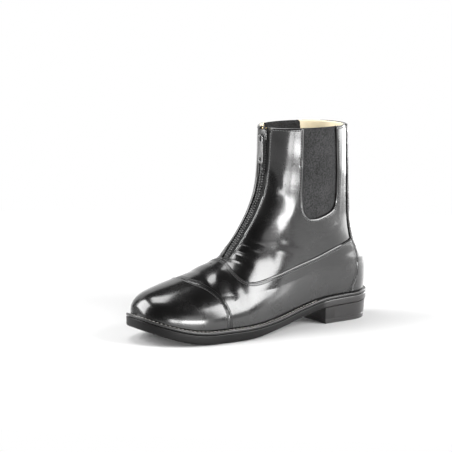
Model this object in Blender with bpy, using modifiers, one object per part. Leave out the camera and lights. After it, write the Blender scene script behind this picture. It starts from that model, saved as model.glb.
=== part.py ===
"""A black leather paddock boot for the left foot, built from its maker's pieces.

Frame: metres, +Z up. The toe points along -Y and the wearer's left side is +X.
The origin is on the ground, at the middle of the heel's resting face.
All sizes below are in millimetres and are scaled once, where a mesh is made.
"""

import functools
import math

import bmesh
import bpy
import numpy as np

MM = 0.001
GAP = 0.3

# Driving sizes of the sole
SOLE_LENGTH = 287.5
BALL_WIDTH = 97.0
HEEL_WIDTH = 66.0
HEEL_LIFT = 18.0
HEEL_BOTTOM_INSET = 2.6
HEEL_TOP_INSET = 0.9
HEEL_LENGTH = 66.8
HEEL_BREAST_RAKE = 1.6
OUTSOLE_FOREPART = 9.8
OUTSOLE_WAIST = 7.6
OUTSOLE_EDGE_BEVEL = 1.2
WELT_THICKNESS = 3.0
TOE_SPRING = 16.5

# Driving sizes of the upper
BOOT_HEIGHT = 210.0
VAMP_HEIGHT = 62.0
SHAFT_DEPTH = 98.6
SHAFT_WIDTH = 79.0
UPPER_WALL = 2.4
LASTING_MARGIN = 10.0
WELT_EDGE_TOE = 6.5
WELT_EDGE_SIDE = 5.5
WELT_EDGE_HEEL = 4.8
RIDGE_LEAN = 3.0
SIDE_FULLNESS = 1.6
INSOLE_SHEET = 2.2
INSOLE_CLEARANCE = 2.6

# Driving sizes of the overlays, the elastic sides and the zip
GALOSH_THICKNESS = 1.2
OVERLAY_LIFT = 0.5
OUTLINE_MARGIN = 20.0
TOE_CAP_THICKNESS = 1.7
BACKSTAY_THICKNESS = 1.5
GORE_THICKNESS = 1.6
GORE_LAP = 5.0
SEAT_GAP = 0.5
ZIP_SLOT_TOP = 18.0
ZIP_SLOT_FOOT = 12.0
ZIP_FOOT_LAP = 7.0
ZIP_TAPE_WIDTH = 30.0
ZIP_TAPE_THICKNESS = 0.8
ZIP_CHAIN_WIDTH = 8.0
ZIP_CHAIN_THICKNESS = 2.2
ZIP_TOP_CLEARANCE = 1.5
ZIP_CHAIN_FOOT_CLEARANCE = 1.5
ZIP_REACH_BEFORE_INSTEP = 40.0
SLIDER_LENGTH = 15.0
SLIDER_WIDTH = 11.0
SLIDER_FRONT = 1.5
SLIDER_LIP_DEPTH = 1.3
SLIDER_BELOW_COLLAR = 10.0
BAIL_WIDTH = 2.0
BAIL_HOLE_RADIUS = 1.7
BAIL_STAND_OFF = 1.3
BAIL_WIRE = 1.1
PULLER_LENGTH = 28.0
PULLER_WIDTH = 8.0
PULLER_THICKNESS = 1.4
PULLER_SLOT_WIDTH = 3.4
PULLER_SLOT_LENGTH = 4.2

# Where the sole starts and ends along Y, and the foremost and rearmost feather points
HEEL_BACK = 36.0
TOE_TIP = HEEL_BACK - SOLE_LENGTH
FEATHER_TIP = TOE_TIP + WELT_EDGE_TOE
FEATHER_BACK = HEEL_BACK - WELT_EDGE_HEEL
SHAFT_AXIS = HEEL_BACK - 0.286 * SOLE_LENGTH
HEEL_FACE_BACK = HEEL_BACK - HEEL_BOTTOM_INSET
HEEL_FACE_FRONT = HEEL_FACE_BACK - HEEL_LENGTH
HALF_BALL = BALL_WIDTH / 2
HALF_HEEL = HEEL_WIDTH / 2

# Plan of the sole. Columns: share of the length from the heel's back, shift of the middle and
# half widths to the little toe's side and to the big toe's side, as shares of the last column
PLAN = (
    (0.00, 0.000, 1.00, 0.99, HALF_HEEL),
    (0.14, 0.000, 1.00, 0.99, HALF_HEEL),
    (0.26, -0.015, 1.03, 0.94, HALF_HEEL),
    (0.38, -0.020, 0.80, 0.60, HALF_BALL),
    (0.50, -0.020, 0.94, 0.68, HALF_BALL),
    (0.62, -0.030, 1.05, 0.86, HALF_BALL),
    (0.70, -0.060, 1.06, 0.94, HALF_BALL),
    (0.79, -0.090, 1.06, 0.93, HALF_BALL),
    (1.00, -0.150, 0.99, 0.88, HALF_BALL),
)
TOE_ROUNDING_START = 0.70
TOE_ROUNDING_POWER = 2.35
HEEL_ROUNDING_START = 0.125
HEEL_ROUNDING_POWER = 2.1

# Underside of the sole. Columns: share of the length, share of the toe spring, share of the heel lift
TREAD = (
    (0.00, 0.00, 1.10),
    (0.22, 0.00, 1.00),
    (0.34, 0.00, 0.72),
    (0.50, 0.00, 0.26),
    (0.60, 0.00, 0.05),
    (0.655, 0.00, 0.00),
    (0.775, 0.00, 0.00),
    (0.820, 0.06, 0.00),
    (0.870, 0.22, 0.00),
    (0.930, 0.53, 0.00),
    (1.000, 1.00, 0.00),
)

# Thickness of the outsole. Columns: share of the length, share of the forepart, share of the waist
OUTSOLE = (
    (0.00, 0.0, 1.0),
    (0.45, 0.0, 1.0),
    (0.66, 1.0, 0.0),
    (1.00, 1.0, 0.0),
)

# Top line of the toe and vamp. Columns: share of the length, share of the vamp height above the welt
VAMP_LINE = (
    (0.969, 0.175),
    (0.946, 0.335),
    (0.897, 0.505),
    (0.821, 0.675),
    (0.744, 0.785),
    (0.682, 0.895),
)

# Shaft, from the instep (level 0) to the collar (level 1). Columns: level, reach to the front
# and to the back of the axis as shares of the shaft depth, half width as a share of its width
SHAFT = (
    (0.000, 1.011, 0.735, 0.430),
    (0.094, 0.900, 0.675, 0.425),
    (0.194, 0.798, 0.625, 0.425),
    (0.365, 0.646, 0.580, 0.440),
    (0.498, 0.565, 0.560, 0.458),
    (0.688, 0.519, 0.537, 0.482),
    (1.000, 0.500, 0.500, 0.500),
)

# Back of the heel. Columns: share of the vamp height above the welt, swell behind the feather
COUNTER = (
    (0.00, 0.0),
    (0.17, 1.5),
    (0.38, 2.0),
    (0.55, 0.6),
)

INSTEP_SHARE = 0.633
SHAFT_POWER = 2.0
VAMP_POWER = 2.15

# Top edge of the vamp and counter overlay, from the zip's foot back to the heel strip.
# Columns: share of the length, level of the shaft
GALOSH_EDGE = (
    (0.626, 0.040),
    (0.634, -0.030),
    (0.628, -0.095),
    (0.606, -0.137),
    (0.565, -0.143),
    (0.490, -0.115),
    (0.390, -0.066),
    (0.290, -0.016),
    (0.205, 0.046),
    (0.130, 0.086),
)

# Back edge of the toe cap, from the ridge down to the welt.
# Columns: share of the length, share of the vamp height above the welt
TOE_CAP_EDGE = (
    (0.812, 0.860),
    (0.795, 0.720),
    (0.757, 0.630),
    (0.730, 0.500),
    (0.714, 0.330),
    (0.708, 0.150),
    (0.706, -0.300),
)

# Front edge of the heel strip, from the collar down to the welt.
# Columns: share of the shaft depth behind its axis, level of the shaft
BACKSTAY_EDGE = (
    (0.420, 1.050),
    (0.430, 0.700),
    (0.450, 0.360),
    (0.462, 0.210),
    (0.490, 0.085),
    (0.548, 0.000),
    (0.576, -0.119),
    (0.548, -0.215),
    (0.500, -0.300),
    (0.440, -0.450),
)

# Elastic window, from the collar's front corner round the foot to its back corner.
# Columns: share of the shaft depth behind its axis, level of the shaft
GORE_WINDOW = (
    (-0.232, 1.050),
    (-0.231, 0.838),
    (-0.229, 0.630),
    (-0.222, 0.440),
    (-0.200, 0.350),
    (-0.150, 0.303),
    (-0.070, 0.288),
    (0.010, 0.296),
    (0.115, 0.319),
    (0.200, 0.352),
    (0.240, 0.430),
    (0.236, 0.603),
    (0.214, 0.819),
    (0.184, 1.050),
)
WINDOW_MIDDLE = 0.020

# Grid of the upper: sections along the boot and points down each half section
TOE_SECTIONS = 10
INSTEP_SECTIONS = 17
SHAFT_SECTIONS = 10
HALF_POINTS = 11
SOLE_STATIONS = 36
OVERLAY_FOOT_STEP = 16.0


def smooth(value, columns, values):
    """Reads a table with a smooth curve that never overshoots between its rows."""
    x = np.asarray(columns, float)
    y = np.asarray(values, float)
    if x[0] > x[-1]:
        x = x[::-1]
        y = y[::-1]
    step = np.diff(x)
    slope = np.diff(y) / step
    tangent = np.zeros_like(y)
    tangent[0] = slope[0]
    tangent[-1] = slope[-1]
    for i in range(1, len(x) - 1):
        if slope[i - 1] * slope[i] > 0:
            before = 2 * step[i] + step[i - 1]
            after = step[i] + 2 * step[i - 1]
            tangent[i] = (before + after) / (before / slope[i - 1] + after / slope[i])
    v = np.clip(np.asarray(value, float), x[0], x[-1])
    i = np.clip(np.searchsorted(x, v) - 1, 0, len(step) - 1)
    t = (v - x[i]) / step[i]
    return (y[i] * (1 + 2 * t) * (1 - t) ** 2 + step[i] * tangent[i] * t * (1 - t) ** 2
            + y[i + 1] * t * t * (3 - 2 * t) + step[i] * tangent[i + 1] * t * t * (t - 1))


def ease(value):
    """A soft step from 0 to 1."""
    t = np.clip(value, 0.0, 1.0)
    return t * t * (3 - 2 * t)


def rounded(value, power):
    """A superellipse quarter: 1 at 0, closing to 0 at 1."""
    t = np.clip(value, 0.0, 1.0)
    return (1 - t ** power) ** (1 / power)


def share_of(y):
    """The share of the sole's length at a place along Y."""
    return (HEEL_BACK - y) / SOLE_LENGTH


def tread(y):
    """Height of the sole's underside."""
    rows = np.array(TREAD)
    return smooth(share_of(y), rows[:, 0], rows[:, 1] * TOE_SPRING + rows[:, 2] * HEEL_LIFT)


def outsole_top(y):
    rows = np.array(OUTSOLE)
    heights = rows[:, 1] * OUTSOLE_FOREPART + rows[:, 2] * OUTSOLE_WAIST
    return tread(y) + smooth(share_of(y), rows[:, 0], heights)


def welt_top(y):
    return outsole_top(y) + GAP + WELT_THICKNESS


def feather(y):
    """Height of the upper's lower edge, just clear of the welt."""
    return welt_top(y) + SEAT_GAP


def plan(y, tip, back, inset):
    """Middle and the two half widths of an outline that ends at tip and back."""
    rows = np.array([(share, shift * size, left * size, right * size)
                     for share, shift, left, right, size in PLAN])
    share = share_of(y)
    middle = smooth(share, rows[:, 0], rows[:, 1])
    toe_start = HEEL_BACK - TOE_ROUNDING_START * SOLE_LENGTH
    heel_start = HEEL_BACK - HEEL_ROUNDING_START * SOLE_LENGTH
    close = (rounded((toe_start - y) / (toe_start - tip), TOE_ROUNDING_POWER)
             * rounded((y - heel_start) / (back - heel_start), HEEL_ROUNDING_POWER))
    left = (smooth(share, rows[:, 0], rows[:, 2]) - inset) * close
    right = (smooth(share, rows[:, 0], rows[:, 3]) - inset) * close
    return middle, left, right


def feather_plan(y, inset=0.0):
    """The upper's outline at the welt, moved inward by the inset."""
    return plan(y, FEATHER_TIP + inset, FEATHER_BACK - inset, WELT_EDGE_SIDE + inset)


INSTEP_Y = HEEL_BACK - INSTEP_SHARE * SOLE_LENGTH
INSTEP_Z = float(feather(INSTEP_Y)) + VAMP_HEIGHT


def level_height(level):
    """Height of a level of the shaft: 0 at the instep, 1 at the collar."""
    return INSTEP_Z + level * (BOOT_HEIGHT - INSTEP_Z)


def front_rows():
    """Points of the front line, from the toe's tip over the vamp and up the shaft."""
    rows = [(FEATHER_TIP, float(feather(FEATHER_TIP)))]
    for share, height in VAMP_LINE:
        y = HEEL_BACK - share * SOLE_LENGTH
        rows.append((y, float(feather(y)) + height * VAMP_HEIGHT))
    for level, front, back, width in SHAFT:
        rows.append((SHAFT_AXIS - front * SHAFT_DEPTH, level_height(level)))
    return np.array(rows)


def back_rows():
    """Points of the back line, from the feather over the counter and up the shaft."""
    rows = []
    for height, swell in COUNTER:
        z = float(feather(FEATHER_BACK)) + height * VAMP_HEIGHT
        rows.append((FEATHER_BACK + swell, z))
    for level, front, back, width in SHAFT:
        rows.append((SHAFT_AXIS + back * SHAFT_DEPTH, level_height(level)))
    return np.array(rows)


FRONT = front_rows()
BACK = back_rows()
SHAFT_LEVELS = np.array(SHAFT)


def front_y(z):
    return smooth(z, FRONT[:, 1], FRONT[:, 0])


def top_z(y):
    """Height of the front line over a place along Y, running on upward behind the collar's front."""
    inside = smooth(y, FRONT[:, 0], FRONT[:, 1])
    past = np.maximum(np.asarray(y, float) - FRONT[-1, 0], 0.0)
    return inside + past * 8.0


def back_y(z):
    return smooth(z, BACK[:, 1], BACK[:, 0])


def middle_y(z):
    """The place along Y where front and back halves of a level meet."""
    heel_middle = HEEL_BACK - HEEL_ROUNDING_START * SOLE_LENGTH
    rise = ease((z - feather(heel_middle)) / (level_height(0.35) - feather(heel_middle)))
    return heel_middle + (SHAFT_AXIS - heel_middle) * rise


def shaft_blend(y, z):
    """0 in the foot, 1 in the shaft."""
    height = ease((z - level_height(-0.28)) / (level_height(0.28) - level_height(-0.28)))
    place = ease((y - (HEEL_BACK - 0.80 * SOLE_LENGTH)) / (0.28 * SOLE_LENGTH))
    return height * place


def half_width(y, z, side):
    """Distance from the middle plane to the upper's outside, to the left (+1) or right (-1)."""
    rise = np.clip((z - feather(y)) / np.maximum(top_z(y) - feather(y), 0.01), 0, 1)
    toe_start = HEEL_BACK - TOE_ROUNDING_START * SOLE_LENGTH
    rows = np.array([(share, left * size, right * size) for share, shift, left, right, size in PLAN])
    column = 1 if side > 0 else 2
    foot = smooth(share_of(y), rows[:, 0], rows[:, column]) - WELT_EDGE_SIDE
    foot = foot * rounded((toe_start - y) / (toe_start - FEATHER_TIP), TOE_ROUNDING_POWER)
    fullness = SIDE_FULLNESS * np.sin(np.clip((z - feather(y)) / (0.5 * VAMP_HEIGHT), 0, 1) * math.pi)
    foot = foot + fullness * foot / HALF_BALL
    shaft = smooth(z, level_height(SHAFT_LEVELS[:, 0]), SHAFT_LEVELS[:, 3] * SHAFT_WIDTH)
    blend = shaft_blend(y, z)
    body = foot * (1 - blend) + shaft * blend
    centre = middle_y(z)
    reach = np.clip((centre - y) / (centre - front_y(z)), 0, 1)
    turn = ease((z - level_height(-0.25)) / (level_height(0.45) - level_height(-0.25)))
    closing = rise * (1 - turn) + reach * turn
    power = VAMP_POWER + (SHAFT_POWER - VAMP_POWER) * turn
    back = np.clip((y - centre) / np.maximum(back_y(z) - centre, 0.01), 0, 1)
    return body * rounded(closing, power) * rounded(back, HEEL_ROUNDING_POWER)


def middle_x(y, z):
    """The upper's middle line, which leans to the big toe's side over the vamp."""
    rows = np.array([(share, shift * size) for share, shift, left, right, size in PLAN])
    foot = smooth(share_of(y), rows[:, 0], rows[:, 1])
    rise = np.clip((z - feather(y)) / np.maximum(top_z(y) - feather(y), 0.01), 0, 1)
    lean = foot - RIDGE_LEAN * rise * ease((HEEL_BACK - 0.30 * SOLE_LENGTH - y) / (0.25 * SOLE_LENGTH))
    return lean * (1 - shaft_blend(y, z))


def ends(s):
    """Front end and back end, in (y, z), of the section at s.

    s runs from 0 at the toe's tip to 1 at the end of the upright sections, to 2 where the
    section's lower end reaches the heel's back, and to 3 at the collar.
    """
    last_upright = HEEL_BACK - 0.70 * SOLE_LENGTH
    heel_front_level = 0.26
    along = np.clip(s, 0, 1)
    tip_spacing = 1 - np.cos(along * math.pi / 2)
    y = FEATHER_TIP + (last_upright - FEATHER_TIP) * (0.55 * tip_spacing + 0.45 * along ** 2)
    if s <= 1:
        return (y, float(top_z(y))), (y, float(feather(y)))
    if s <= 2:
        t = s - 1
        start_z = float(top_z(last_upright))
        z = start_z + (level_height(heel_front_level) - start_z) * t
        spacing = t * (1 - t) ** 2 + t * t * (3 - 2 * t) - 0.15 * t * t * (1 - t)
        low = last_upright + (FEATHER_BACK - last_upright) * spacing
        return (float(front_y(z)), z), (low, float(feather(low)))
    t = s - 2
    z = level_height(heel_front_level + (1 - heel_front_level) * t)
    low = float(feather(FEATHER_BACK)) + (BOOT_HEIGHT - float(feather(FEATHER_BACK))) * t
    return (float(front_y(z)), z), (float(back_y(low)), low)


def surface(s, t):
    """A point of the upper's outside. t runs from -1 (right foot edge) over 0 (front) to 1 (left)."""
    front, low = ends(s)
    u = min(abs(t), 1.0)
    open_end = 1 - math.cos(u * math.pi / 2)
    closed_end = (1 - math.cos(u * math.pi)) / 2
    mix = float(ease(s - 1.0)) ** 2 if s < 2 else 1.0
    share = open_end * (1 - mix) + closed_end * mix
    y = front[0] + (low[0] - front[0]) * share
    z = front[1] + (low[1] - front[1]) * share
    side = 1 if t >= 0 else -1
    if u == 0 or (u == 1 and s >= 2) or s == 0:
        width = 0.0
    else:
        width = float(half_width(y, z, side))
    return np.array((float(middle_x(y, z)) + side * width, y, z))


def normal(s, t):
    """The outward direction of the upper's outside, from four near points."""
    if s == 0:
        return np.array((0.0, -1.0, 0.0))
    near = 0.01
    place = min(max(t, near - 1), 1 - near)
    along = surface(min(s + near, 3.0), place) - surface(max(s - near, 0.0), place)
    around = surface(s, place + near) - surface(s, place - near)
    out = np.cross(around, along)
    if abs(t) == 1 and s < 2:
        out[2] = 0.0
    if abs(t) == 1 and s >= 2:
        out[0] = 0.0
    return out / np.linalg.norm(out)


def section_places():
    """Values of s for the grid's sections."""
    toe = [i / TOE_SECTIONS for i in range(TOE_SECTIONS)]
    instep = [1 + i / INSTEP_SECTIONS for i in range(INSTEP_SECTIONS)]
    shaft = [2 + i / SHAFT_SECTIONS for i in range(SHAFT_SECTIONS + 1)]
    return toe + instep + shaft


@functools.cache
def form_grid():
    """Points and outward directions of the upper's outside, one row for each section."""
    places = [j / HALF_POINTS for j in range(-HALF_POINTS, HALF_POINTS + 1)]
    return [(s, [(surface(s, t), normal(s, t)) for t in places]) for s in section_places()]


@functools.cache
def falling_diagonals():
    """For each cell of the form's grid, whether its shorter diagonal starts at its first corner.

    Every layer cut from the form shares these, so that their facets stay parallel.
    """
    rows = [[point for point, out in row] for s, row in form_grid()]
    return [[np.linalg.norm(b[j + 1] - a[j]) < np.linalg.norm(b[j] - a[j + 1])
             for j in range(len(a) - 1)] for a, b in zip(rows, rows[1:])]


def outside_grid(offset, first=0.0, last=3.0):
    """The upper's outside moved outward by the offset: rows of points, and their diagonals."""
    rows = []
    diagonals = []
    for (s, row), cells in zip(form_grid(), falling_diagonals() + [None]):
        if first <= s <= last:
            rows.append([point + out * offset for point, out in row])
            diagonals.append(cells)
    return rows, diagonals


def margin_grids():
    """The lasting margin, turned in under the foot from the feather line, on each side."""
    left_rows = []
    right_rows = []
    span = FEATHER_BACK - FEATHER_TIP
    for s in section_places():
        if s > 2:
            continue
        low = ends(s)[1][0]
        inner = FEATHER_TIP + LASTING_MARGIN + (low - FEATHER_TIP) / span * (span - 2 * LASTING_MARGIN)
        middle, left, right = feather_plan(inner, LASTING_MARGIN)
        height = float(feather(inner))
        left_rows.append([surface(s, 1.0), np.array((float(middle + left), inner, height))])
        right_rows.append([np.array((float(middle - right), inner, height)), surface(s, -1.0)])
    plain = [[True]] * len(left_rows)
    return [(left_rows, plain), (right_rows, plain)]


def mesh_from_grids(name, grids):
    """An open mesh from grids of points in millimetres, with doubled points joined."""
    bm = bmesh.new()
    for rows, diagonals in grids:
        grid = [[bm.verts.new([float(c) * MM for c in point]) for point in row] for row in rows]
        for a, b, cells in zip(grid, grid[1:], diagonals):
            for j, falling in enumerate(cells):
                if falling:
                    bm.faces.new((a[j], a[j + 1], b[j + 1]))
                    bm.faces.new((a[j], b[j + 1], b[j]))
                else:
                    bm.faces.new((a[j], a[j + 1], b[j]))
                    bm.faces.new((a[j + 1], b[j + 1], b[j]))
    bmesh.ops.remove_doubles(bm, verts=bm.verts, dist=0.02 * MM)
    mesh = bpy.data.meshes.new(name)
    bm.to_mesh(mesh)
    bm.free()
    return mesh


def leather(name, colour, roughness, metallic=0.0):
    """A plain Principled material."""
    material = bpy.data.materials.new(name)
    material.use_nodes = True
    shader = material.node_tree.nodes["Principled BSDF"]
    shader.inputs["Base Color"].default_value = (*colour, 1.0)
    shader.inputs["Roughness"].default_value = roughness
    shader.inputs["Metallic"].default_value = metallic
    return material


def add(name, mesh, material, collection):
    thing = bpy.data.objects.new(name, mesh)
    mesh.materials.append(material)
    collection.objects.link(thing)
    return thing


def add_shell(name, grids, thickness, outward, material, collection):
    """A wall on one side of an open surface; inward ones keep their thickness round corners."""
    thing = add(name, mesh_from_grids(name, grids), material, collection)
    wall = thing.modifiers.new("wall", "SOLIDIFY")
    wall.thickness = thickness * MM
    wall.offset = 1.0 if outward else -1.0
    wall.use_even_offset = not outward
    wall.use_quality_normals = True
    return thing


def add_prism(name, outline, low, high, axis, cutters):
    """A cutter: an outline in two axes, extruded along X (axis 0) or Y (axis 1)."""
    bm = bmesh.new()
    if axis == 0:
        corners = [bm.verts.new((low * MM, a * MM, b * MM)) for a, b in outline]
        travel = ((high - low) * MM, 0, 0)
    else:
        corners = [bm.verts.new((a * MM, low * MM, b * MM)) for a, b in outline]
        travel = (0, (high - low) * MM, 0)
    face = bm.faces.new(corners)
    grown = bmesh.ops.extrude_face_region(bm, geom=[face])
    moved = [item for item in grown["geom"] if isinstance(item, bmesh.types.BMVert)]
    bmesh.ops.translate(bm, verts=moved, vec=travel)
    bmesh.ops.recalc_face_normals(bm, faces=bm.faces)
    mesh = bpy.data.meshes.new(name)
    bm.to_mesh(mesh)
    bm.free()
    thing = bpy.data.objects.new(name, mesh)
    thing.hide_render = True
    thing.display_type = "WIRE"
    cutters.objects.link(thing)
    return thing


def cut(thing, cutter, operation):
    change = thing.modifiers.new(cutter.name, "BOOLEAN")
    change.operation = operation
    change.object = cutter
    change.solver = "EXACT"


def drawn_through(points, steps):
    """Points of a soft curve through the given ones."""
    p = np.array(points, float)
    p = np.vstack((2 * p[0] - p[1], p, 2 * p[-1] - p[-2]))
    out = []
    for i in range(1, len(p) - 2):
        for k in range(steps):
            t = k / steps
            out.append(0.5 * (2 * p[i] + (p[i + 1] - p[i - 1]) * t
                              + (2 * p[i - 1] - 5 * p[i] + 4 * p[i + 1] - p[i + 2]) * t ** 2
                              + (3 * p[i] - p[i - 1] - 3 * p[i + 1] + p[i + 2]) * t ** 3))
    out.append(p[-2])
    return [(float(a), float(b)) for a, b in out]


def galosh_edge():
    rows = [(HEEL_BACK - share * SOLE_LENGTH, level_height(level)) for share, level in GALOSH_EDGE]
    return drawn_through(rows, 3)


def toe_cap_edge():
    rows = []
    for share, height in TOE_CAP_EDGE:
        y = HEEL_BACK - share * SOLE_LENGTH
        rows.append((y, float(feather(y)) + height * VAMP_HEIGHT))
    return drawn_through(rows, 2)


def backstay_edge():
    rows = [(SHAFT_AXIS + share * SHAFT_DEPTH, level_height(level)) for share, level in BACKSTAY_EDGE]
    return drawn_through(rows, 2)


def window_outline(lap):
    """The elastic window's outline, grown by the lap on every side but the collar's."""
    centre = (SHAFT_AXIS + WINDOW_MIDDLE * SHAFT_DEPTH, level_height(0.62))
    rows = []
    for share, level in GORE_WINDOW:
        y = SHAFT_AXIS + share * SHAFT_DEPTH
        z = level_height(level)
        side = np.clip((y - centre[0]) / (0.2 * SHAFT_DEPTH), -1, 1)
        down = np.clip((centre[1] - z) / (centre[1] - level_height(0.30)), 0, 1) ** 3
        rows.append((float(y + lap * side), float(z - lap * down)))
    return drawn_through(rows, 2)


def moved(outline, along, up=0.0):
    return [(a + along, b + up) for a, b in outline]


def outline_loop(tip, back, inset, height, lift, start=None):
    """One closed loop round the sole: left edge from the front to the back, then the right edge."""
    front = tip if start is None else start
    turn = np.linspace(0, math.pi, SOLE_STATIONS + 1)
    share = (1 - np.cos(turn)) / 2
    if start is not None:
        share = np.sin(turn / 2)
    y = front + (back - front) * share
    middle, left, right = plan(y, tip, back, inset)
    z = height(y) + lift
    left_edge = list(zip(middle + left, y, z))
    right_edge = list(zip(middle - right, y, z))
    return left_edge + right_edge[::-1]


def add_loops(name, loops, ring, material, collection):
    """A closed solid through loops of equal count, capped at both ends or joined into a ring."""
    bm = bmesh.new()
    made = [[bm.verts.new([float(c) * MM for c in point]) for point in loop] for loop in loops]
    pairs = list(zip(made, made[1:]))
    if ring:
        pairs.append((made[-1], made[0]))
    count = len(made[0])
    for a, b in pairs:
        for j in range(count):
            bm.faces.new((a[j], a[(j + 1) % count], b[(j + 1) % count], b[j]))
    if not ring:
        for loop in (made[0], made[-1]):
            for j in range(count // 2 - 1):
                bm.faces.new((loop[j], loop[j + 1], loop[count - 2 - j], loop[count - 1 - j]))
    bmesh.ops.remove_doubles(bm, verts=bm.verts, dist=0.02 * MM)
    bmesh.ops.recalc_face_normals(bm, faces=bm.faces)
    mesh = bpy.data.meshes.new(name)
    bm.to_mesh(mesh)
    bm.free()
    return add(name, mesh, material, collection)


def feather_loop(inset, height, lift):
    return outline_loop(FEATHER_TIP + inset, FEATHER_BACK - inset, WELT_EDGE_SIDE + inset, height, lift)


def make_sole(material, collection):
    """Outsole and welt, stacked from the ground up."""
    bevel = OUTSOLE_EDGE_BEVEL
    loops = [
        outline_loop(TOE_TIP + bevel, HEEL_BACK - bevel, bevel, tread, 0.0),
        outline_loop(TOE_TIP, HEEL_BACK, 0.0, tread, bevel),
        outline_loop(TOE_TIP, HEEL_BACK, 0.0, outsole_top, 0.0),
    ]
    add_loops("outsole", loops, False, material, collection)
    shelf = LASTING_MARGIN + 2.0
    loops = [
        outline_loop(TOE_TIP, HEEL_BACK, 0.0, outsole_top, GAP),
        outline_loop(TOE_TIP, HEEL_BACK, 0.0, welt_top, 0.0),
        feather_loop(shelf, welt_top, 0.0),
        feather_loop(shelf, outsole_top, GAP),
    ]
    add_loops("welt", loops, True, material, collection)


def make_heel(material, collection):
    """The stacked heel, with its breast raked and its sides drawn in toward the ground."""
    inset = HEEL_BOTTOM_INSET
    top = HEEL_TOP_INSET
    loops = [
        outline_loop(TOE_TIP, HEEL_FACE_BACK, inset, np.zeros_like, 0.0, HEEL_FACE_FRONT),
        outline_loop(TOE_TIP, HEEL_BACK - top, top, tread, -GAP, HEEL_FACE_FRONT - HEEL_BREAST_RAKE),
    ]
    add_loops("heel_block", loops, False, material, collection)


def make_insole(material, collection):
    """The insole: a sheet over the lasting margin, with its bed below filling the welt's ring."""
    bed = LASTING_MARGIN + 2.0 + GAP
    sheet = UPPER_WALL + INSOLE_CLEARANCE
    over_margin = SEAT_GAP + UPPER_WALL + SEAT_GAP
    loops = [
        feather_loop(bed, outsole_top, GAP),
        feather_loop(bed, welt_top, over_margin),
        feather_loop(sheet, welt_top, over_margin),
        feather_loop(sheet, welt_top, over_margin + INSOLE_SHEET),
    ]
    add_loops("insole", loops, False, material, collection)


def slot_outline():
    """The zip's opening, seen from the front."""
    top = BOOT_HEIGHT + 5.0
    foot = level_height(0.015)
    round_off = ZIP_SLOT_FOOT / 4
    return [
        (-ZIP_SLOT_TOP / 2, top),
        (-ZIP_SLOT_FOOT / 2, foot + round_off),
        (-ZIP_SLOT_FOOT / 2 + round_off, foot),
        (ZIP_SLOT_FOOT / 2 - round_off, foot),
        (ZIP_SLOT_FOOT / 2, foot + round_off),
        (ZIP_SLOT_TOP / 2, top),
    ]


def make_upper(material, collection, cutters):
    grids = [outside_grid(0.0)] + margin_grids()
    upper = add_shell("upper", grids, UPPER_WALL, False, material, collection)
    slot = add_prism("zip_slot", slot_outline(), INSTEP_Y - ZIP_REACH_BEFORE_INSTEP, SHAFT_AXIS, 1, cutters)
    cut(upper, slot, "DIFFERENCE")
    for name, reach in (("window_left", SHAFT_WIDTH), ("window_right", -SHAFT_WIDTH)):
        window = add_prism(name, window_outline(0.0), 0.0, reach, 0, cutters)
        cut(upper, window, "DIFFERENCE")


def overlay_foot(start, end):
    """The overlays' lower edge in side view, which stands just clear of the welt."""
    steps = 1 + int(abs(end - start) / OVERLAY_FOOT_STEP)
    places = [start + (end - start) * k / steps for k in range(steps + 1)]
    return [(y, float(feather(min(max(y, TOE_TIP), HEEL_BACK))) + OVERLAY_LIFT) for y in places]


def above(line, floor_at):
    """The stretch of a line, given from high to low, that stays above the overlays' lower edge."""
    kept = [p for p in line if p[1] > float(feather(p[0])) + OVERLAY_LIFT + floor_at]
    low = line[len(kept)][0]
    return kept + [(low, float(feather(low)) + OVERLAY_LIFT)]


def make_overlays(material, collection, cutters):
    """Toe cap, vamp with its side and heel foxing, and the heel strip, sewn over the upper."""
    wide = BALL_WIDTH
    cap = toe_cap_edge()
    strip = backstay_edge()
    top = galosh_edge()
    high = level_height(0.5)
    before = TOE_TIP - OUTLINE_MARGIN
    behind = HEEL_BACK + OUTLINE_MARGIN
    half_gap = GAP / 2

    cap_side = above(moved(cap, -half_gap), 1.0)
    outline = [(before, high), (cap_side[0][0], high)] + cap_side
    outline += overlay_foot(cap_side[-1][0], before)[1:]
    cutter = add_prism("toe_cap_outline", outline, -wide, wide, 0, cutters)
    toe_cap = add_shell("toe_cap", [outside_grid(GAP, 0.0, 1.4)], TOE_CAP_THICKNESS, True,
                        material, collection)
    cut(toe_cap, cutter, "INTERSECT")

    vamp_side = above(moved(cap, half_gap), 1.0)
    heel_side = above([p for p in moved(strip, -half_gap) if p[1] < top[-1][1] - 1.0], 1.0)
    outline = [(vamp_side[0][0], high), (top[0][0], high)] + top + heel_side
    outline += overlay_foot(heel_side[-1][0], vamp_side[-1][0])[1:-1] + vamp_side[::-1]
    cutter = add_prism("galosh_outline", outline, -wide, wide, 0, cutters)
    galosh = add_shell("vamp_galosh", [outside_grid(GAP, 0.5, 2.6)], GALOSH_THICKNESS, True,
                       material, collection)
    cut(galosh, cutter, "INTERSECT")

    strip_side = above(moved(strip, half_gap), 1.0)
    outline = [(behind, strip_side[0][1])] + strip_side + overlay_foot(strip_side[-1][0], behind)[1:]
    cutter = add_prism("backstay_outline", outline, -wide, wide, 0, cutters)
    backstay = add_shell("backstay", [outside_grid(GAP, 1.5, 3.0)], BACKSTAY_THICKNESS, True,
                         material, collection)
    cut(backstay, cutter, "INTERSECT")


def make_gores(material, collection, cutters):
    """The elastic sides, held behind the wall round each window."""
    inner = -(UPPER_WALL + SEAT_GAP)
    for name, reach in (("gore_lateral", SHAFT_WIDTH), ("gore_medial", -SHAFT_WIDTH)):
        cutter = add_prism(name + "_outline", window_outline(GORE_LAP), 0.0, reach, 0, cutters)
        gore = add_shell(name, [outside_grid(inner, 2.0, 3.0)], GORE_THICKNESS, False,
                         material, collection)
        cut(gore, cutter, "INTERSECT")


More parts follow.
